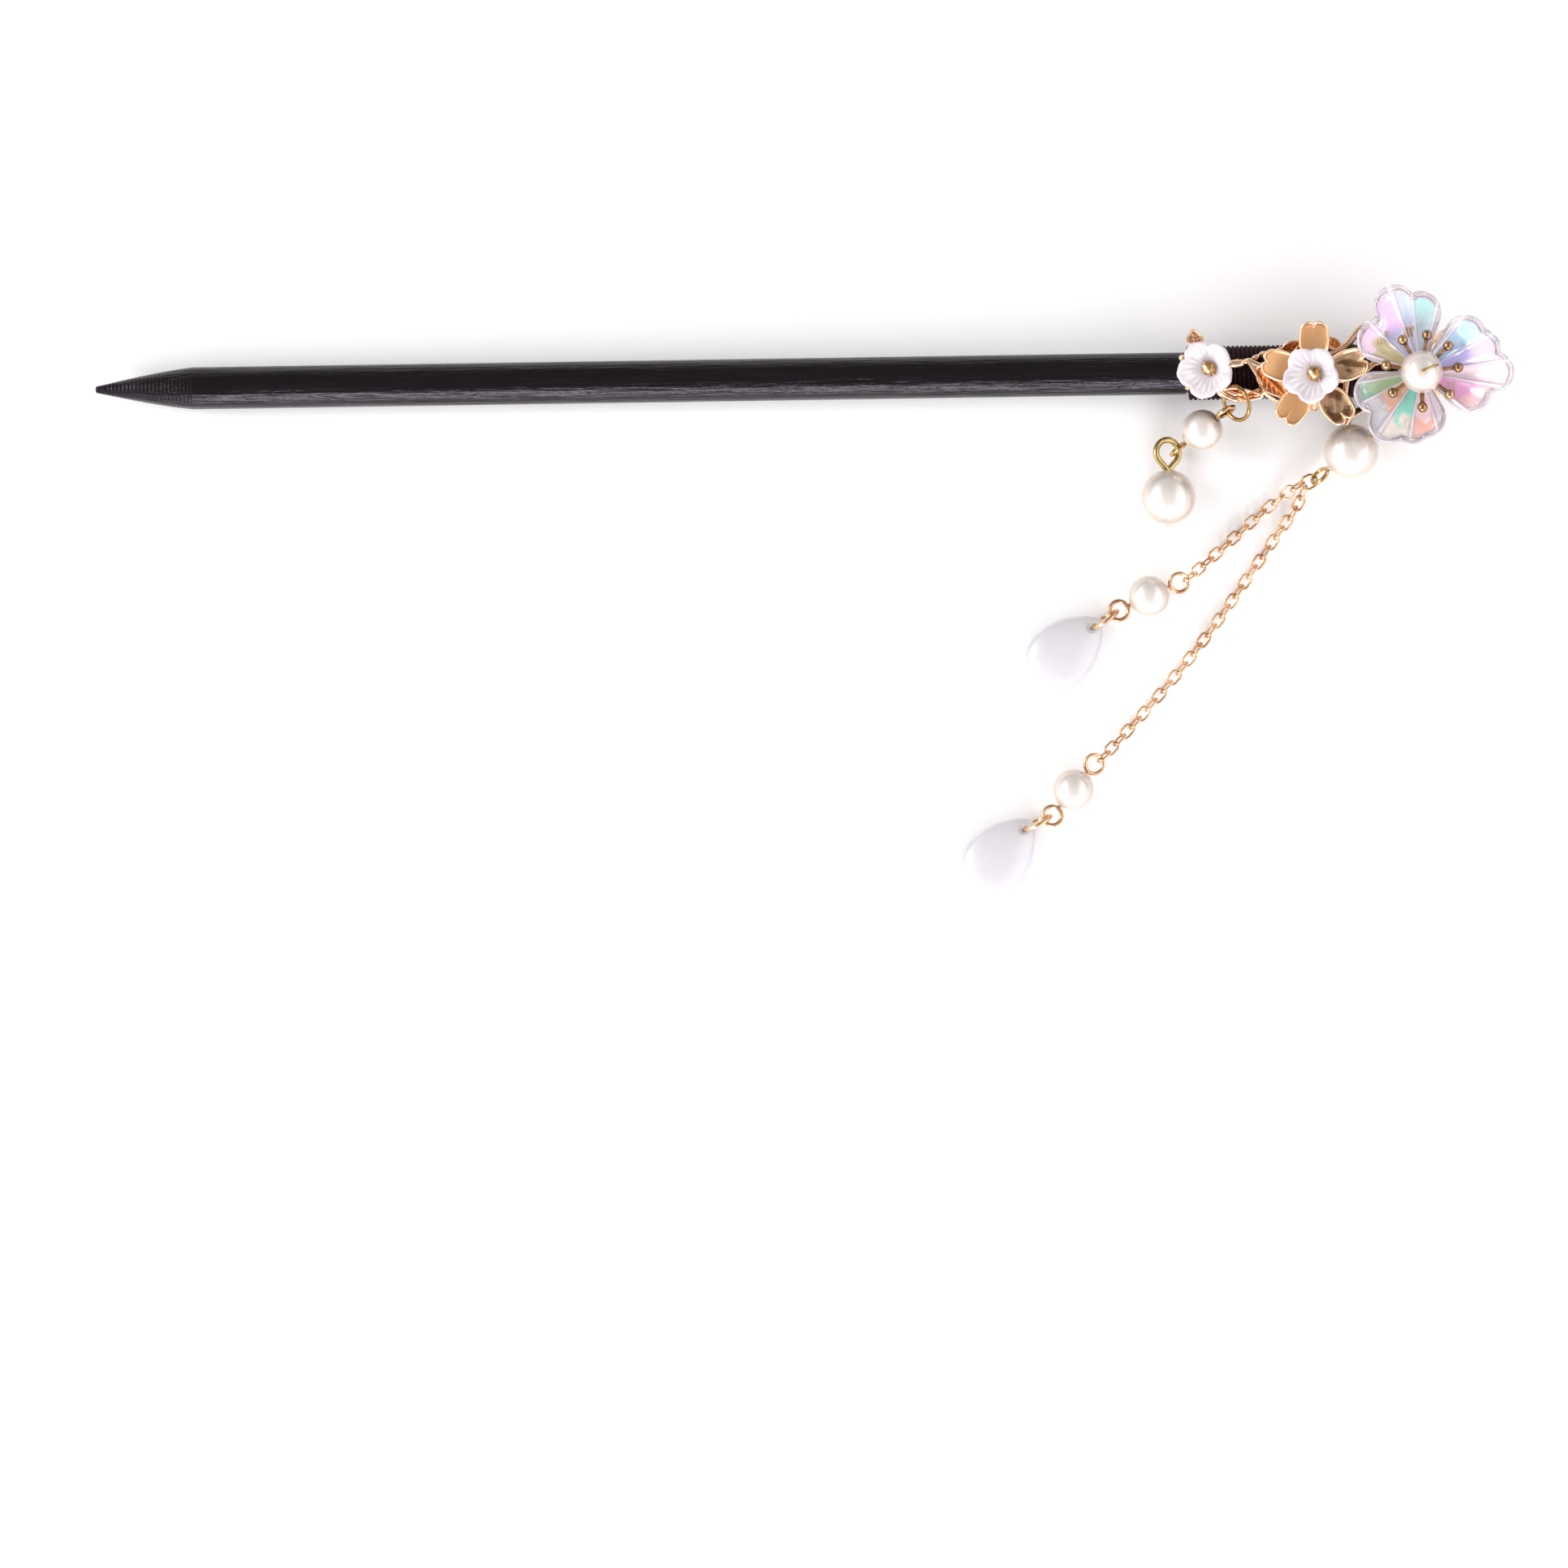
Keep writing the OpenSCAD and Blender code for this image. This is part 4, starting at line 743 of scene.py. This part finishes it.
def iridescent(w):
    centred = {
        "Vector": w.node("TexCoord", out="Object"), "Scale": (100, 100, 100),
        "Location": tuple(-100 * float(v) for v in from_end(CRYSTAL_SPOT)),
    }
    place = w.node("Mapping", None, centred)
    x, y = (w.node("SeparateXYZ", None, {0: place}, k) for k in (0, 1))
    drift = speckle(w, 260.0, 2.0)
    spread = speckle(w, 420.0, 1.0)
    turn = w.math("ARCTAN2", y, x) * (1 / (2 * math.pi)) + 12 / 360 + (drift - 0.5) * 0.012
    turn = w.math("FRACT", turn + 1.0)
    radius = (x ** 2.0 + y ** 2.0) ** 0.5
    inner, outer = (w.node("ValToRGB", {"stops": cell_ramp(k)}, {"Fac": turn}) for k in (0, 1))
    film = blended(w, eased(w, radius + (spread - 0.5) * 0.5, 0.66, 0.82), inner, outer)
    bowl = marked(w)
    # The ridges are painted white as a highlight, and their flanks darker as painted shade
    ridge_highlight = 1 - eased(w, bowl, 0.10, 0.26)
    flank_shade = eased(w, bowl, 0.14, 0.30) * (1 - eased(w, bowl, 0.30, 0.50))
    # Painted glints: white squiggles over the outer film
    streak = eased(w, speckle(w, 520.0, 3.0, distortion=1.2), 0.58, 0.66)
    pale = blended(w, 0.20 + 0.5 * streak * eased(w, radius, 0.5, 0.8), film, colour(255, 252, 255))
    pale = blended(w, flank_shade * 0.45, pale, colour(168, 142, 172))
    shown = blended(w, ridge_highlight * 0.85, pale, colour(240, 234, 242))
    for x_at, y_at, wide, tall, strength in BEHIND:
        off_x = w.math("ABSOLUTE", x - x_at / 10) * (10 / wide)
        off_y = w.math("ABSOLUTE", y - y_at / 10) * (10 / tall)
        inside = 1 - eased(w, w.math("MAXIMUM", off_x, off_y) + (spread - 0.5) * 0.8, 0.7, 1.15)
        ribs = eased(w, w.math("SINE", (x * 1.3 + y * 0.3) * 95.0), -0.9, 0.9)
        gold = blended(w, ribs, colour(140, 104, 70), colour(206, 176, 142))
        shown = blended(w, inside * strength, shown, gold)
    clear = blended(w, eased(w, drift, 0.35, 0.65), colour(224, 208, 216), colour(242, 236, 240))
    shown = blended(w, eased(w, bowl, 1.2, 1.8), shown, clear)
    return {
        "Base Color": shown,
        "Roughness": 0.07 + 0.08 * spread,
        "Normal": relief(w, spread, 0.00003, 0.3),
        # The resin also glows faintly in its own colour: painted light for light coming through it
        "Emission Color": shown, "Emission Strength": 0.07,
        "IOR": 1.5, "Transmission Weight": 0.12, "Coat Weight": 1.0, "Coat Roughness": 0.03,
    }


def clear_rim(w):
    smoke = speckle(w, 500.0, 3.0)
    clear = blended(w, eased(w, smoke, 0.35, 0.65), colour(226, 214, 223), colour(253, 249, 253))
    return {
        # Darker where marked: painted shade along the sides of the rim and the drops
        "Base Color": blended(w, marked(w) * 0.85, clear, colour(150, 128, 122)),
        "Roughness": 0.03 + 0.06 * smoke,
        "IOR": 1.45, "Transmission Weight": 0.45, "Coat Weight": 1.0, "Coat Roughness": 0.02,
        "Normal": relief(w, smoke, 0.00008, 0.7),
    }


# The shell has a top and an underside on the same rings. The cells are hollow between thin ridges, which fall
# off as a root of the way to the middle of the cell and fade towards the hub.
shell_th = outline_by_length(520)
shell_share = np.concatenate([np.linspace(0, 0.91, 25), [0.93, 0.96, 0.985, 1.0]])[:, None]
shell_r = CENTRE_HOLE_R + (crystal_edge(shell_th) - CENTRE_HOLE_R) * shell_share
bowl = cell_bowl(shell_th)
fluted = (0.30 - 0.55 * bowl ** 0.45) * np.minimum(1, shell_r / 6) * (shell_r > 2)
shell_lift = crystal_lift(shell_th, shell_r)
thinned = 0.12 * np.clip((shell_share - 0.9) / 0.1, 0, 1)
upper = polar(shell_th, shell_r, shell_lift + fluted * 0.9 + CRYSTAL_WALL - thinned)
under = polar(shell_th, shell_r, shell_lift + fluted * 0.5 + thinned)
# The bowl marks carry the painted highlight on the ridges and the painted shade on their flanks
edge_marked = np.where(shell_share > 0.925, 2.0, bowl)
shell_marks = np.concatenate([edge_marked, edge_marked[::-1]])
shell = banded(np.concatenate([upper, under[::-1]]) + CRYSTAL_SPOT, True, shell_marks)
lustre = finish("iridescent_resin", iridescent)
piece("crystal_petals", [shell], lustre, "crystal_resin", "crystal_blossom", crease=70)

# The rim is a bead of resin along the smoothed outline, with a finer one inside it
RIM_INSET, RIM_SMOOTH = 0.24, 13
rim_th = outline_by_length(900)
rim_edge = crystal_edge(rim_th)
full = np.clip((rim_edge - CRYSTAL_HUB) / 1.2, 0, 1)
rim_z = crystal_lift(rim_th, rim_edge) + CRYSTAL_WALL * 0.62
nipped = polar(rim_th, rim_edge - RIM_INSET, rim_z) + CRYSTAL_SPOT
bell = np.hanning(RIM_SMOOTH) / np.hanning(RIM_SMOOTH).sum()
wrapped = np.concatenate([nipped[-(RIM_SMOOTH // 2):], nipped, nipped[:RIM_SMOOTH // 2]])
rim = np.stack([np.convolve(k, bell, "valid") for k in wrapped.T], -1)
off_middle = rim - CRYSTAL_SPOT
inward = 1 - 0.62 * full / np.linalg.norm(off_middle[:, :2], axis=1)
inner_rim = CRYSTAL_SPOT + off_middle * inward[:, None] + [0, 0, 0.05]
# Painted shade along both sides of each bead of resin, as a clear bead shows from above
painted_side_shade = np.abs(np.cos(full_circle(20)))[None] ** 6
rims = [
    banded(swept(rim, 0.17 + 0.06 * full, sides=20, up=(0, 0, 1), loop=True), True, painted_side_shade),
    banded(swept(inner_rim, 0.07 + 0.05 * full, sides=20, up=(0, 0, 1), loop=True), True, painted_side_shade * 0.7),
]
drop_lat = np.radians(np.linspace(-80, 80, 9))
drop_ball = lathed(np.sin(drop_lat), np.cos(drop_lat), 12, upright=True)
drop_th = RESIN_DROPS[:, 0]
drop_r = crystal_edge(drop_th) - RESIN_DROPS[:, 1]
drops_at = polar(drop_th, drop_r, crystal_lift(drop_th, drop_r) + CRYSTAL_WALL * 0.8) + CRYSTAL_SPOT
for k, drop_at in enumerate(drops_at):
    size = 0.26 + 0.06 * (k % 3)
    # The drops carry the same painted shade round their sides
    rims.append(banded(drop_ball * size + drop_at, mark=np.cos(drop_lat)[:, None] ** 4))
clear_resin = finish("clear_resin", clear_rim)
piece("crystal_rim", rims, clear_resin, "crystal_resin", "crystal_blossom", crease=80)


# The stamens: a cast star in antique gold, eight stems that swell towards the hub and end in balls, held down
# by the pin of the middle pearl.
STAMEN_REACH, STAMEN_D, ANTHER_D, RAY_RISE, RAY_Z, STAR_R, STAR_T = 5.15, 0.7, 1.5, 26, 0.4, 1.5, 1.2
STAR_Z = CRYSTAL_SPOT[2] + CRYSTAL_WALL + 3 * GAP + 1.3 * CRYSTAL_RISE * (STAR_R / CRYSTAL_REACH) ** 1.6
anther_r = ANTHER_D / 2
ray_len = STAMEN_REACH / math.cos(math.radians(RAY_RISE))
stem_x = np.linspace(0.3, ray_len - anther_r * 0.86, 22)
swelling = 0.5 * np.exp(-((stem_x - 1.2) / 1.1) ** 2) + 0.25 * np.exp(-((stem_x - stem_x[-1]) / 0.25) ** 2)
stem_r = STAMEN_D / 2 * np.minimum(0.86 + swelling, 1.3)
anther_a = np.radians(np.linspace(152, 6, 16))
ray_x = np.concatenate([stem_x, ray_len + anther_r * np.cos(anther_a)])
ray = lathed(ray_x, np.concatenate([stem_r, anther_r * np.sin(anther_a)]), 20)
# Painted shade on the stems' feet, which lie under the middle pearl
shade_under_pearl = np.clip(1.2 - ray_x / 3, 0, 0.8)[:, None]
star = [
    banded(ray @ turned_by(0, -RAY_RISE, a).T + spot(CRYSTAL_AT, STAR_Z + RAY_Z), mark=shade_under_pearl)
    for a in (5, 43, 81, 121, 170, 216, 270, 319)
]
# The hub's section: from the hole over the top, round the edge and back underneath
HUB = np.array([
    [CENTRE_HOLE_R, STAR_T - 0.1], [CENTRE_HOLE_R + 0.1, STAR_T], [STAR_R - 0.2, STAR_T],
    [STAR_R - 0.05, STAR_T - 0.08], [STAR_R, STAR_T - 0.25], [STAR_R, 0.1], [STAR_R - 0.05, 0],
    [CENTRE_HOLE_R, 0],
])
hub = lathed(HUB[:, 1], HUB[:, 0], 40, upright=True) + spot(CRYSTAL_AT, STAR_Z)
# The hub, under the middle pearl, carries painted shade
star.append(banded(hub, True, 0.6))
old_gold = gilding("antique_gold", (66, 44, 28), (148, 112, 80), (196, 162, 126), 0.16, 0.5)
piece("stamen_star", star, old_gold, "old_gold", "stamens", crease=60)


# The pressed glass flowers: milky glass with a frosted skin, five lobes and fine pressed grooves. Each lies
# tilted on its seat, the left one on a pad and the right one on the gilt blossom, and a wire ties it down.
GLASS_R, GLASS_H, BORE_R = 4.15, 2.6, 0.42
# The seats, as the last word of their pieces and nodes, with their place in plan, height and tilt in degrees
SEATS = (
    ("by_point", "left", (LEFT_AT, PAD_TOP + GAP, 20)),
    ("on_gilt", "right", (RIGHT_AT, GILT_Z + GILT_FLOOR + GAP + 0.35, 12)),
)


def seated(points, seat):
    """Points about a flower's middle, tilted, and raised so that its low side clears the seat."""
    at, height, tilt = seat
    raised = height + PAD_R * math.sin(math.radians(tilt))
    return points @ turned_by(0, -tilt, 0).T + spot(at, raised)


def glass_flower(seat, first, lobed):
    """Rings from the hole up to a well for the bead, over the dish to the lobed edge and back underneath. The
    edge is a power of a five-fold cosine. The dish turns over there, with grooves that fan out and fade before
    it, and it is drawn a little to one side."""
    a = 360 * np.arange(300) / 300
    wave = np.abs(np.cos(np.radians(2.5 * a)))
    edge = GLASS_R * (0.85 + 0.15 * wave ** lobed + 0.01 * np.cos(np.radians(15 * a)))
    curl = 0.8 + 0.2 * np.sin(np.radians(np.linspace(12, 90, 9)))
    s = np.concatenate([np.linspace(0, 0.8, 18), curl])[:, None]
    fan = np.abs(np.sin(np.radians(a * 10 + 12 * np.sin(np.radians(a * 5)) + 9 * np.sin(np.radians(a * 3)))))
    fade = np.clip((s - 0.1) / 0.3, 0, 1) * np.clip((0.86 - s) / 0.3, 0, 1)
    ribs = 0.05 * (fan ** 0.6 - 0.6) * fade + 0.10 * (wave ** 6 - 0.3) * fade
    turned_over = 1 - 0.30 * np.clip((s - 0.8) / 0.2, 0, 1) ** 2.6
    top = 1.38 + (GLASS_H - 1.5) * s ** 0.9 * turned_over - 0.30 * s * (1 - wave) + ribs
    low_s = np.array([0.99, 0.96, 0.9, 0.75, 0.5, 0.25, 0])[:, None]
    well = np.array([[BORE_R, 0.12], [0.46, 0.30], [0.72, 0.36], [0.93, 0.86], [1.09, 1.36]])
    even = np.ones_like(a)
    reach = edge - HOLE_R
    r = np.vstack([well[:, :1] * even, HOLE_R + reach * s, HOLE_R + reach * low_s, BORE_R * even])
    z = np.vstack([well[:, 1:] * even, top, GLASS_H * 0.55 * low_s ** 2 * even, 0.02 * even])
    drawn = -0.45 * np.clip((r - HOLE_R) / (GLASS_R - HOLE_R), 0, 1)
    rows = polar(a + first, r, z) + drawn[..., None] * [1, 0.4, 0]
    # Marks the grooves, which are painted lighter: painted light along them
    groove = np.vstack([0 * well[:, :1] * even, (1 - fan) ** 2 * fade, 0 * low_s * even, 0 * even])
    return banded(seated(rows, seat), True, groove)


def frosted(w):
    milk = speckle(w, 380.0, 4.0)
    frost = speckle(w, 6500.0, 3.0)
    body = blended(w, eased(w, milk, 0.35, 0.65), colour(216, 210, 213), colour(192, 184, 190))
    return {
        # Painted light: the grooves lighter than the body
        "Base Color": blended(w, marked(w) * 0.8, body, colour(246, 244, 245)),
        # A faint lilac glow, painted light that lifts the shade in the glass
        "Emission Color": (0.86, 0.82, 0.86, 1), "Emission Strength": 0.10,
        "Roughness": 0.30 + 0.18 * frost,
        "Normal": relief(w, milk + frost * 0.1, 0.00012, 0.5),
        "Subsurface Weight": 0.6, "Subsurface Radius": (1.0, 0.85, 0.9), "Subsurface Scale": 0.0012,
        "Coat Weight": 0.3, "Coat Roughness": 0.22,
    }


matt_glass = finish("frosted_glass", frosted)
for (where, side, seat), (first, lobed) in zip(SEATS, ((45, 0.9), (54, 1.4))):
    flower = glass_flower(seat, first, lobed)
    piece("glass_flower_" + where, [flower], matt_glass, "pressed_glass", "glass_flower_" + side, crease=70)


# The seed beads: amber glass balls with a gold-lined bore, one in the well of each glass flower. They lie on
# their sides, and the tie wire goes through the bore.
SEED_R, SEED_BORE_R, SEED_Z, SEED_TURN = 1.1, 0.3, 1.65, -50


def seed_bead(seat):
    """Rings along the bore: the ball between the mouths of the bore, and the bore back again. The lining
    shows through the glass as a bright line over the bore."""
    mouth = np.radians(np.linspace(18, 162, 25))
    along = np.append(SEED_R * np.cos(mouth), [-0.9, 0.9])
    rows = lathed(along, np.append(SEED_R * np.sin(mouth), [SEED_BORE_R] * 2), 36)
    over_bore = (rows[..., 2] > 0) * (np.abs(along[:, None]) < 0.72)
    lining = np.exp(-((rows[..., 1] + 0.1) / 0.2) ** 2) * over_bore
    return banded(seated(rows @ turned_by(0, 0, SEED_TURN).T + [0, 0, SEED_Z], seat), True, lining)


def lined_glass(w):
    lining = eased(w, speckle(w, 1300.0, 3.0, distortion=1.0), 0.35, 0.65)
    amber = blended(w, lining, colour(112, 70, 20), colour(196, 144, 56))
    return {
        "Base Color": blended(w, marked(w), amber, colour(255, 244, 204)),
        "Metallic": 0.35 + 0.3 * lining,
        "Roughness": 0.12 + 0.12 * speckle(w, 5000.0, 2.0),
        "Normal": relief(w, lining, 0.00004, 0.5),
        "Coat Weight": 1.0, "Coat Roughness": 0.04,
    }


gold_lined = finish("gold_lined_glass", lined_glass)
for where, side, seat in SEATS:
    piece("seed_bead_" + where, [seed_bead(seat)], gold_lined, "gold_bead", "seed_bead_" + side, crease=40)


# The wires: pins with loops, jump rings, ties and chains of drawn brass wire, plated rose gold and a little
# scratched. The pins and rings next to the ornament are of pale gold, yellower than the rest.
def drawn_wire(name, deep, light):
    """Plated wire between two colours, scratched along it."""
    def paint(w):
        scratch = speckle(w, 1.0, 4.0, (900, 900, 5200))
        cloud = eased(w, speckle(w, 330.0, 2.0), 0.3, 0.7)
        return {
            "Base Color": blended(w, cloud, colour(*deep), colour(*light)),
            "Metallic": 1.0,
            "Roughness": 0.10 + 0.14 * scratch,
            "Normal": relief(w, scratch, 0.00001, 0.5),
        }
    return finish(name, paint)


def dress(look, *nodes):
    """Gives CAD nodes, whose shape is right as it is, their finish."""
    for name in nodes:
        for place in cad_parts[name].material_slots:
            place.material = look


def tie(seat):
    """A thin wire up through the flower's hole, through the bead's bore, and down again."""
    half = np.array([
        [0.2, 0, -1.0], [0.2, 0, 0.1], [0.34, 0, 0.36], [0.8, 0, 0.62],
        [1.05, 0, 1.0], [1.2, 0, 1.4], [1.1, 0, 1.64],
    ])
    path = curved(np.vstack([half, [0, 0, SEED_Z], half[::-1] * [-1, 1, 1]]), 8)
    return banded(swept(seated(path @ turned_by(0, 0, SEED_TURN).T, seat), 0.14, sides=12))


plated_wire = drawn_wire("plated_wire", (200, 156, 118), (234, 200, 166))
pale_wire = drawn_wire("pale_gold_wire", (164, 128, 80), (220, 188, 134))
for where, side, seat in SEATS:
    piece("tie_wire_" + where, [tie(seat)], plated_wire, "gilt_metal", "tie_" + side, crease=60)
dress(plated_wire, "chain_short", "eye_pin_short", "ring_short", "chain_long", "eye_pin_long", "ring_long")
dress(pale_wire, "pearl_pin", "ring_upper", "eye_pin_upper", "ring_main", "eye_pin_main", "link_main")


# The thick eye of the upper strand, in a heavier and greener old plating. It is bent from one wire: its ends
# cross at the pearl, and one goes on through it. It is drawn with the pearl along X, then turned to lie as it
# does on the table, its middle 6.4 mm before the pearl's.
EYE_R, EYE_WIRE, EYE_PIN, EYE_REACH, EYE_DROP = 1.85, 0.9, 0.6, 6.4, 0.4


def box_middle(node):
    """The middle of a CAD node's box."""
    return np.mean(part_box(node), axis=0)


eye_a = np.radians(np.linspace(38, 322, 60))
eye_loop = np.stack([EYE_R * np.cos(eye_a), EYE_R * np.sin(eye_a), np.linspace(-0.22, 0.22, 60)], -1)
foot = np.array([[2.75, -0.12, -0.28], [2.1, 0.55, -0.26]])
lead_in = curved(np.vstack([foot, eye_loop[:1]]), 8)[:-1]
lead_out = curved(np.vstack([eye_loop[-1:], -foot[::-1] * [-1, 1, 1]]), 8)[1:]
eye_path = np.vstack([lead_in, eye_loop, lead_out])
eye_pin = np.linspace([2.6, 0, 0], [10.08, 0, 0], 12)
eye_turn = turned_by(-24, -math.degrees(math.asin(EYE_DROP / EYE_REACH)), -90)
eye_middle = box_middle("pearl_tail") - eye_turn @ [EYE_REACH / 1000, 0, 0]


def by_the_pearl(p):
    """Points in mm about the eye's middle, turned and moved beside the tail pearl."""
    return p @ eye_turn.T / 1000 + eye_middle


bent_eye = [
    banded(swept(eye_path, EYE_WIRE / 2, sides=20, up=(0, 0, 1)), place=by_the_pearl),
    banded(swept(eye_pin, EYE_PIN / 2), place=by_the_pearl),
]
green_gold = gilding("green_gold", (60, 48, 24), (158, 134, 82), (210, 188, 132), 0.12, 0.4)
piece("bent_eye", bent_eye, green_gold, "old_gold", "thick_eye", crease=60)


# The pearls: glass balls dipped in pearl essence, drilled through, pale and cloudy. Their warm ring further
# out and brighter edge, set by how squarely they face the view, are painted reflection and sheen.
PEARL_R, PEARL_BORE_R = 3.0, 0.21


def pearl_essence(w):
    fine = speckle(w, 4200.0, 2.0)
    edgeways = w.node("LayerWeight", None, {"Blend": 0.35}, "Facing")
    body = blended(w, speckle(w, 240.0, 3.0, distortion=0.6), colour(218, 209, 201), colour(234, 228, 223))
    # Painted reflection and sheen: a warm darker ring, then a brighter edge, by facing
    painted_warm_ring = blended(w, eased(w, edgeways, 0.12, 0.42), body, colour(204, 189, 176))
    return {
        "Base Color": blended(w, eased(w, edgeways, 0.5, 0.85), painted_warm_ring, colour(238, 231, 227)),
        "Metallic": 0.26 - 0.12 * edgeways,
        "Roughness": 0.19 + 0.10 * fine,
        "Normal": relief(w, fine, 0.00001, 0.25),
        "Coat Weight": 1.0, "Coat Roughness": 0.05, "Specular IOR Level": 0.7,
    }


pearly = finish("pearl_essence", pearl_essence)
dress(pearly, "pearl_upper", "pearl_tail", "pearl_main", "pearl_short", "pearl_long")
# The middle pearl fits its wire closely: the same ball about an upright bore
pearl_a = np.radians(np.linspace(4, 176, 60))
pearl_r = np.append(PEARL_R * np.sin(pearl_a), [PEARL_BORE_R] * 2)
pearl_z = np.append(PEARL_R * np.cos(pearl_a), [0.1 - PEARL_R, PEARL_R - 0.1])
pearl_up = STAR_Z + RAY_Z + (PEARL_R + STAMEN_D / 2 + 0.2) / math.cos(math.radians(RAY_RISE))
pearl_at = spot(CRYSTAL_AT, pearl_up) - [0.1, 0.15, 0]
middle_pearl = banded(lathed(pearl_z, pearl_r, 72, upright=True) + pearl_at, True)
piece("middle_pearl", [middle_pearl], pearly, "pearl", "centre_pearl", crease=40)


# The drops: flat milky glass, pointed at the ring and round at the foot. A jump ring goes through the ground
# hole near the point, and here each drop lies flat on the table.
DROP_LEN, DROP_W, DROP_T, DROP_HOLE_R, DROP_WIDEST, HOLE_INSET = 13.4, 9.5, 4.2, 0.8, 0.62, 1.8


def drop_half(t):
    """Half the width at a share of the length from the point: a power curve to the widest place, then an
    ellipse."""
    near = np.maximum(0, 1 - ((DROP_WIDEST - t) / DROP_WIDEST) ** 2) ** 0.8
    far = np.sqrt(np.maximum(0, 1 - ((t - DROP_WIDEST) / (1 - DROP_WIDEST)) ** 2))
    return DROP_W / 2 * np.where(t > DROP_WIDEST, far, near)


def drop(node, az):
    """Rings about the hole, out to the outline on top and back underneath. At each point the thickness is an
    ellipse across the drop, which closes at the outline. It is set at the middle of the node's box."""
    t = np.linspace(0, 1, 2001)
    side_x, side_y = DROP_LEN * t[::-1] - HOLE_INSET, drop_half(t[::-1])
    a = full_circle(160) - np.pi
    edge = np.interp(np.abs(a), np.arctan2(side_y, side_x), np.hypot(side_x, side_y))
    s = np.sin(np.radians(np.linspace(0, 90, 34)))[:, None]
    r = DROP_HOLE_R + (edge - DROP_HOLE_R) * s
    x, y = r * np.cos(a), r * np.sin(a)
    half = drop_half(np.clip((x + HOLE_INSET) / DROP_LEN, 0, 1))
    z = DROP_T / DROP_W * half * np.sqrt(np.maximum(0, 1 - (y / np.maximum(half, 1e-6)) ** 2))
    z[-1] = 0
    rows = np.concatenate([np.stack([x, y, z], -1), np.stack([x, y, -z], -1)[::-1][1:]])
    rows = rows @ turned_by(0, 0, az).T / 1000
    own_middle = (rows.min((0, 1)) + rows.max((0, 1))) / 2
    return banded(rows, True, place=lambda p: p + box_middle(node) - own_middle)


def milky(w):
    fine = speckle(w, 3000.0, 2.0)
    edgeways = w.node("LayerWeight", None, {"Blend": 0.4}, "Facing")
    body = blended(w, speckle(w, 210.0, 3.0, distortion=0.4), colour(236, 234, 238), colour(226, 224, 229))
    return {
        # Darker towards the edges as they turn from the view: painted shade
        "Base Color": blended(w, edgeways, body, colour(216, 214, 221)),
        "Roughness": 0.10 + 0.08 * fine,
        "Normal": relief(w, fine, 0.00001, 0.2),
        "Subsurface Weight": 0.6, "Subsurface Radius": (0.9, 0.9, 1.0), "Subsurface Scale": 0.002,
        "Transmission Weight": 0.25, "IOR": 1.5, "Coat Weight": 1.0, "Coat Roughness": 0.04,
    }


milky_glass = finish("milky_glass", milky)
for end, az in (("short", 221), ("long", 228)):
    piece("glass_drop_" + end, [drop("drop_" + end, az)], milky_glass, "milky_glass", "drop_" + end)
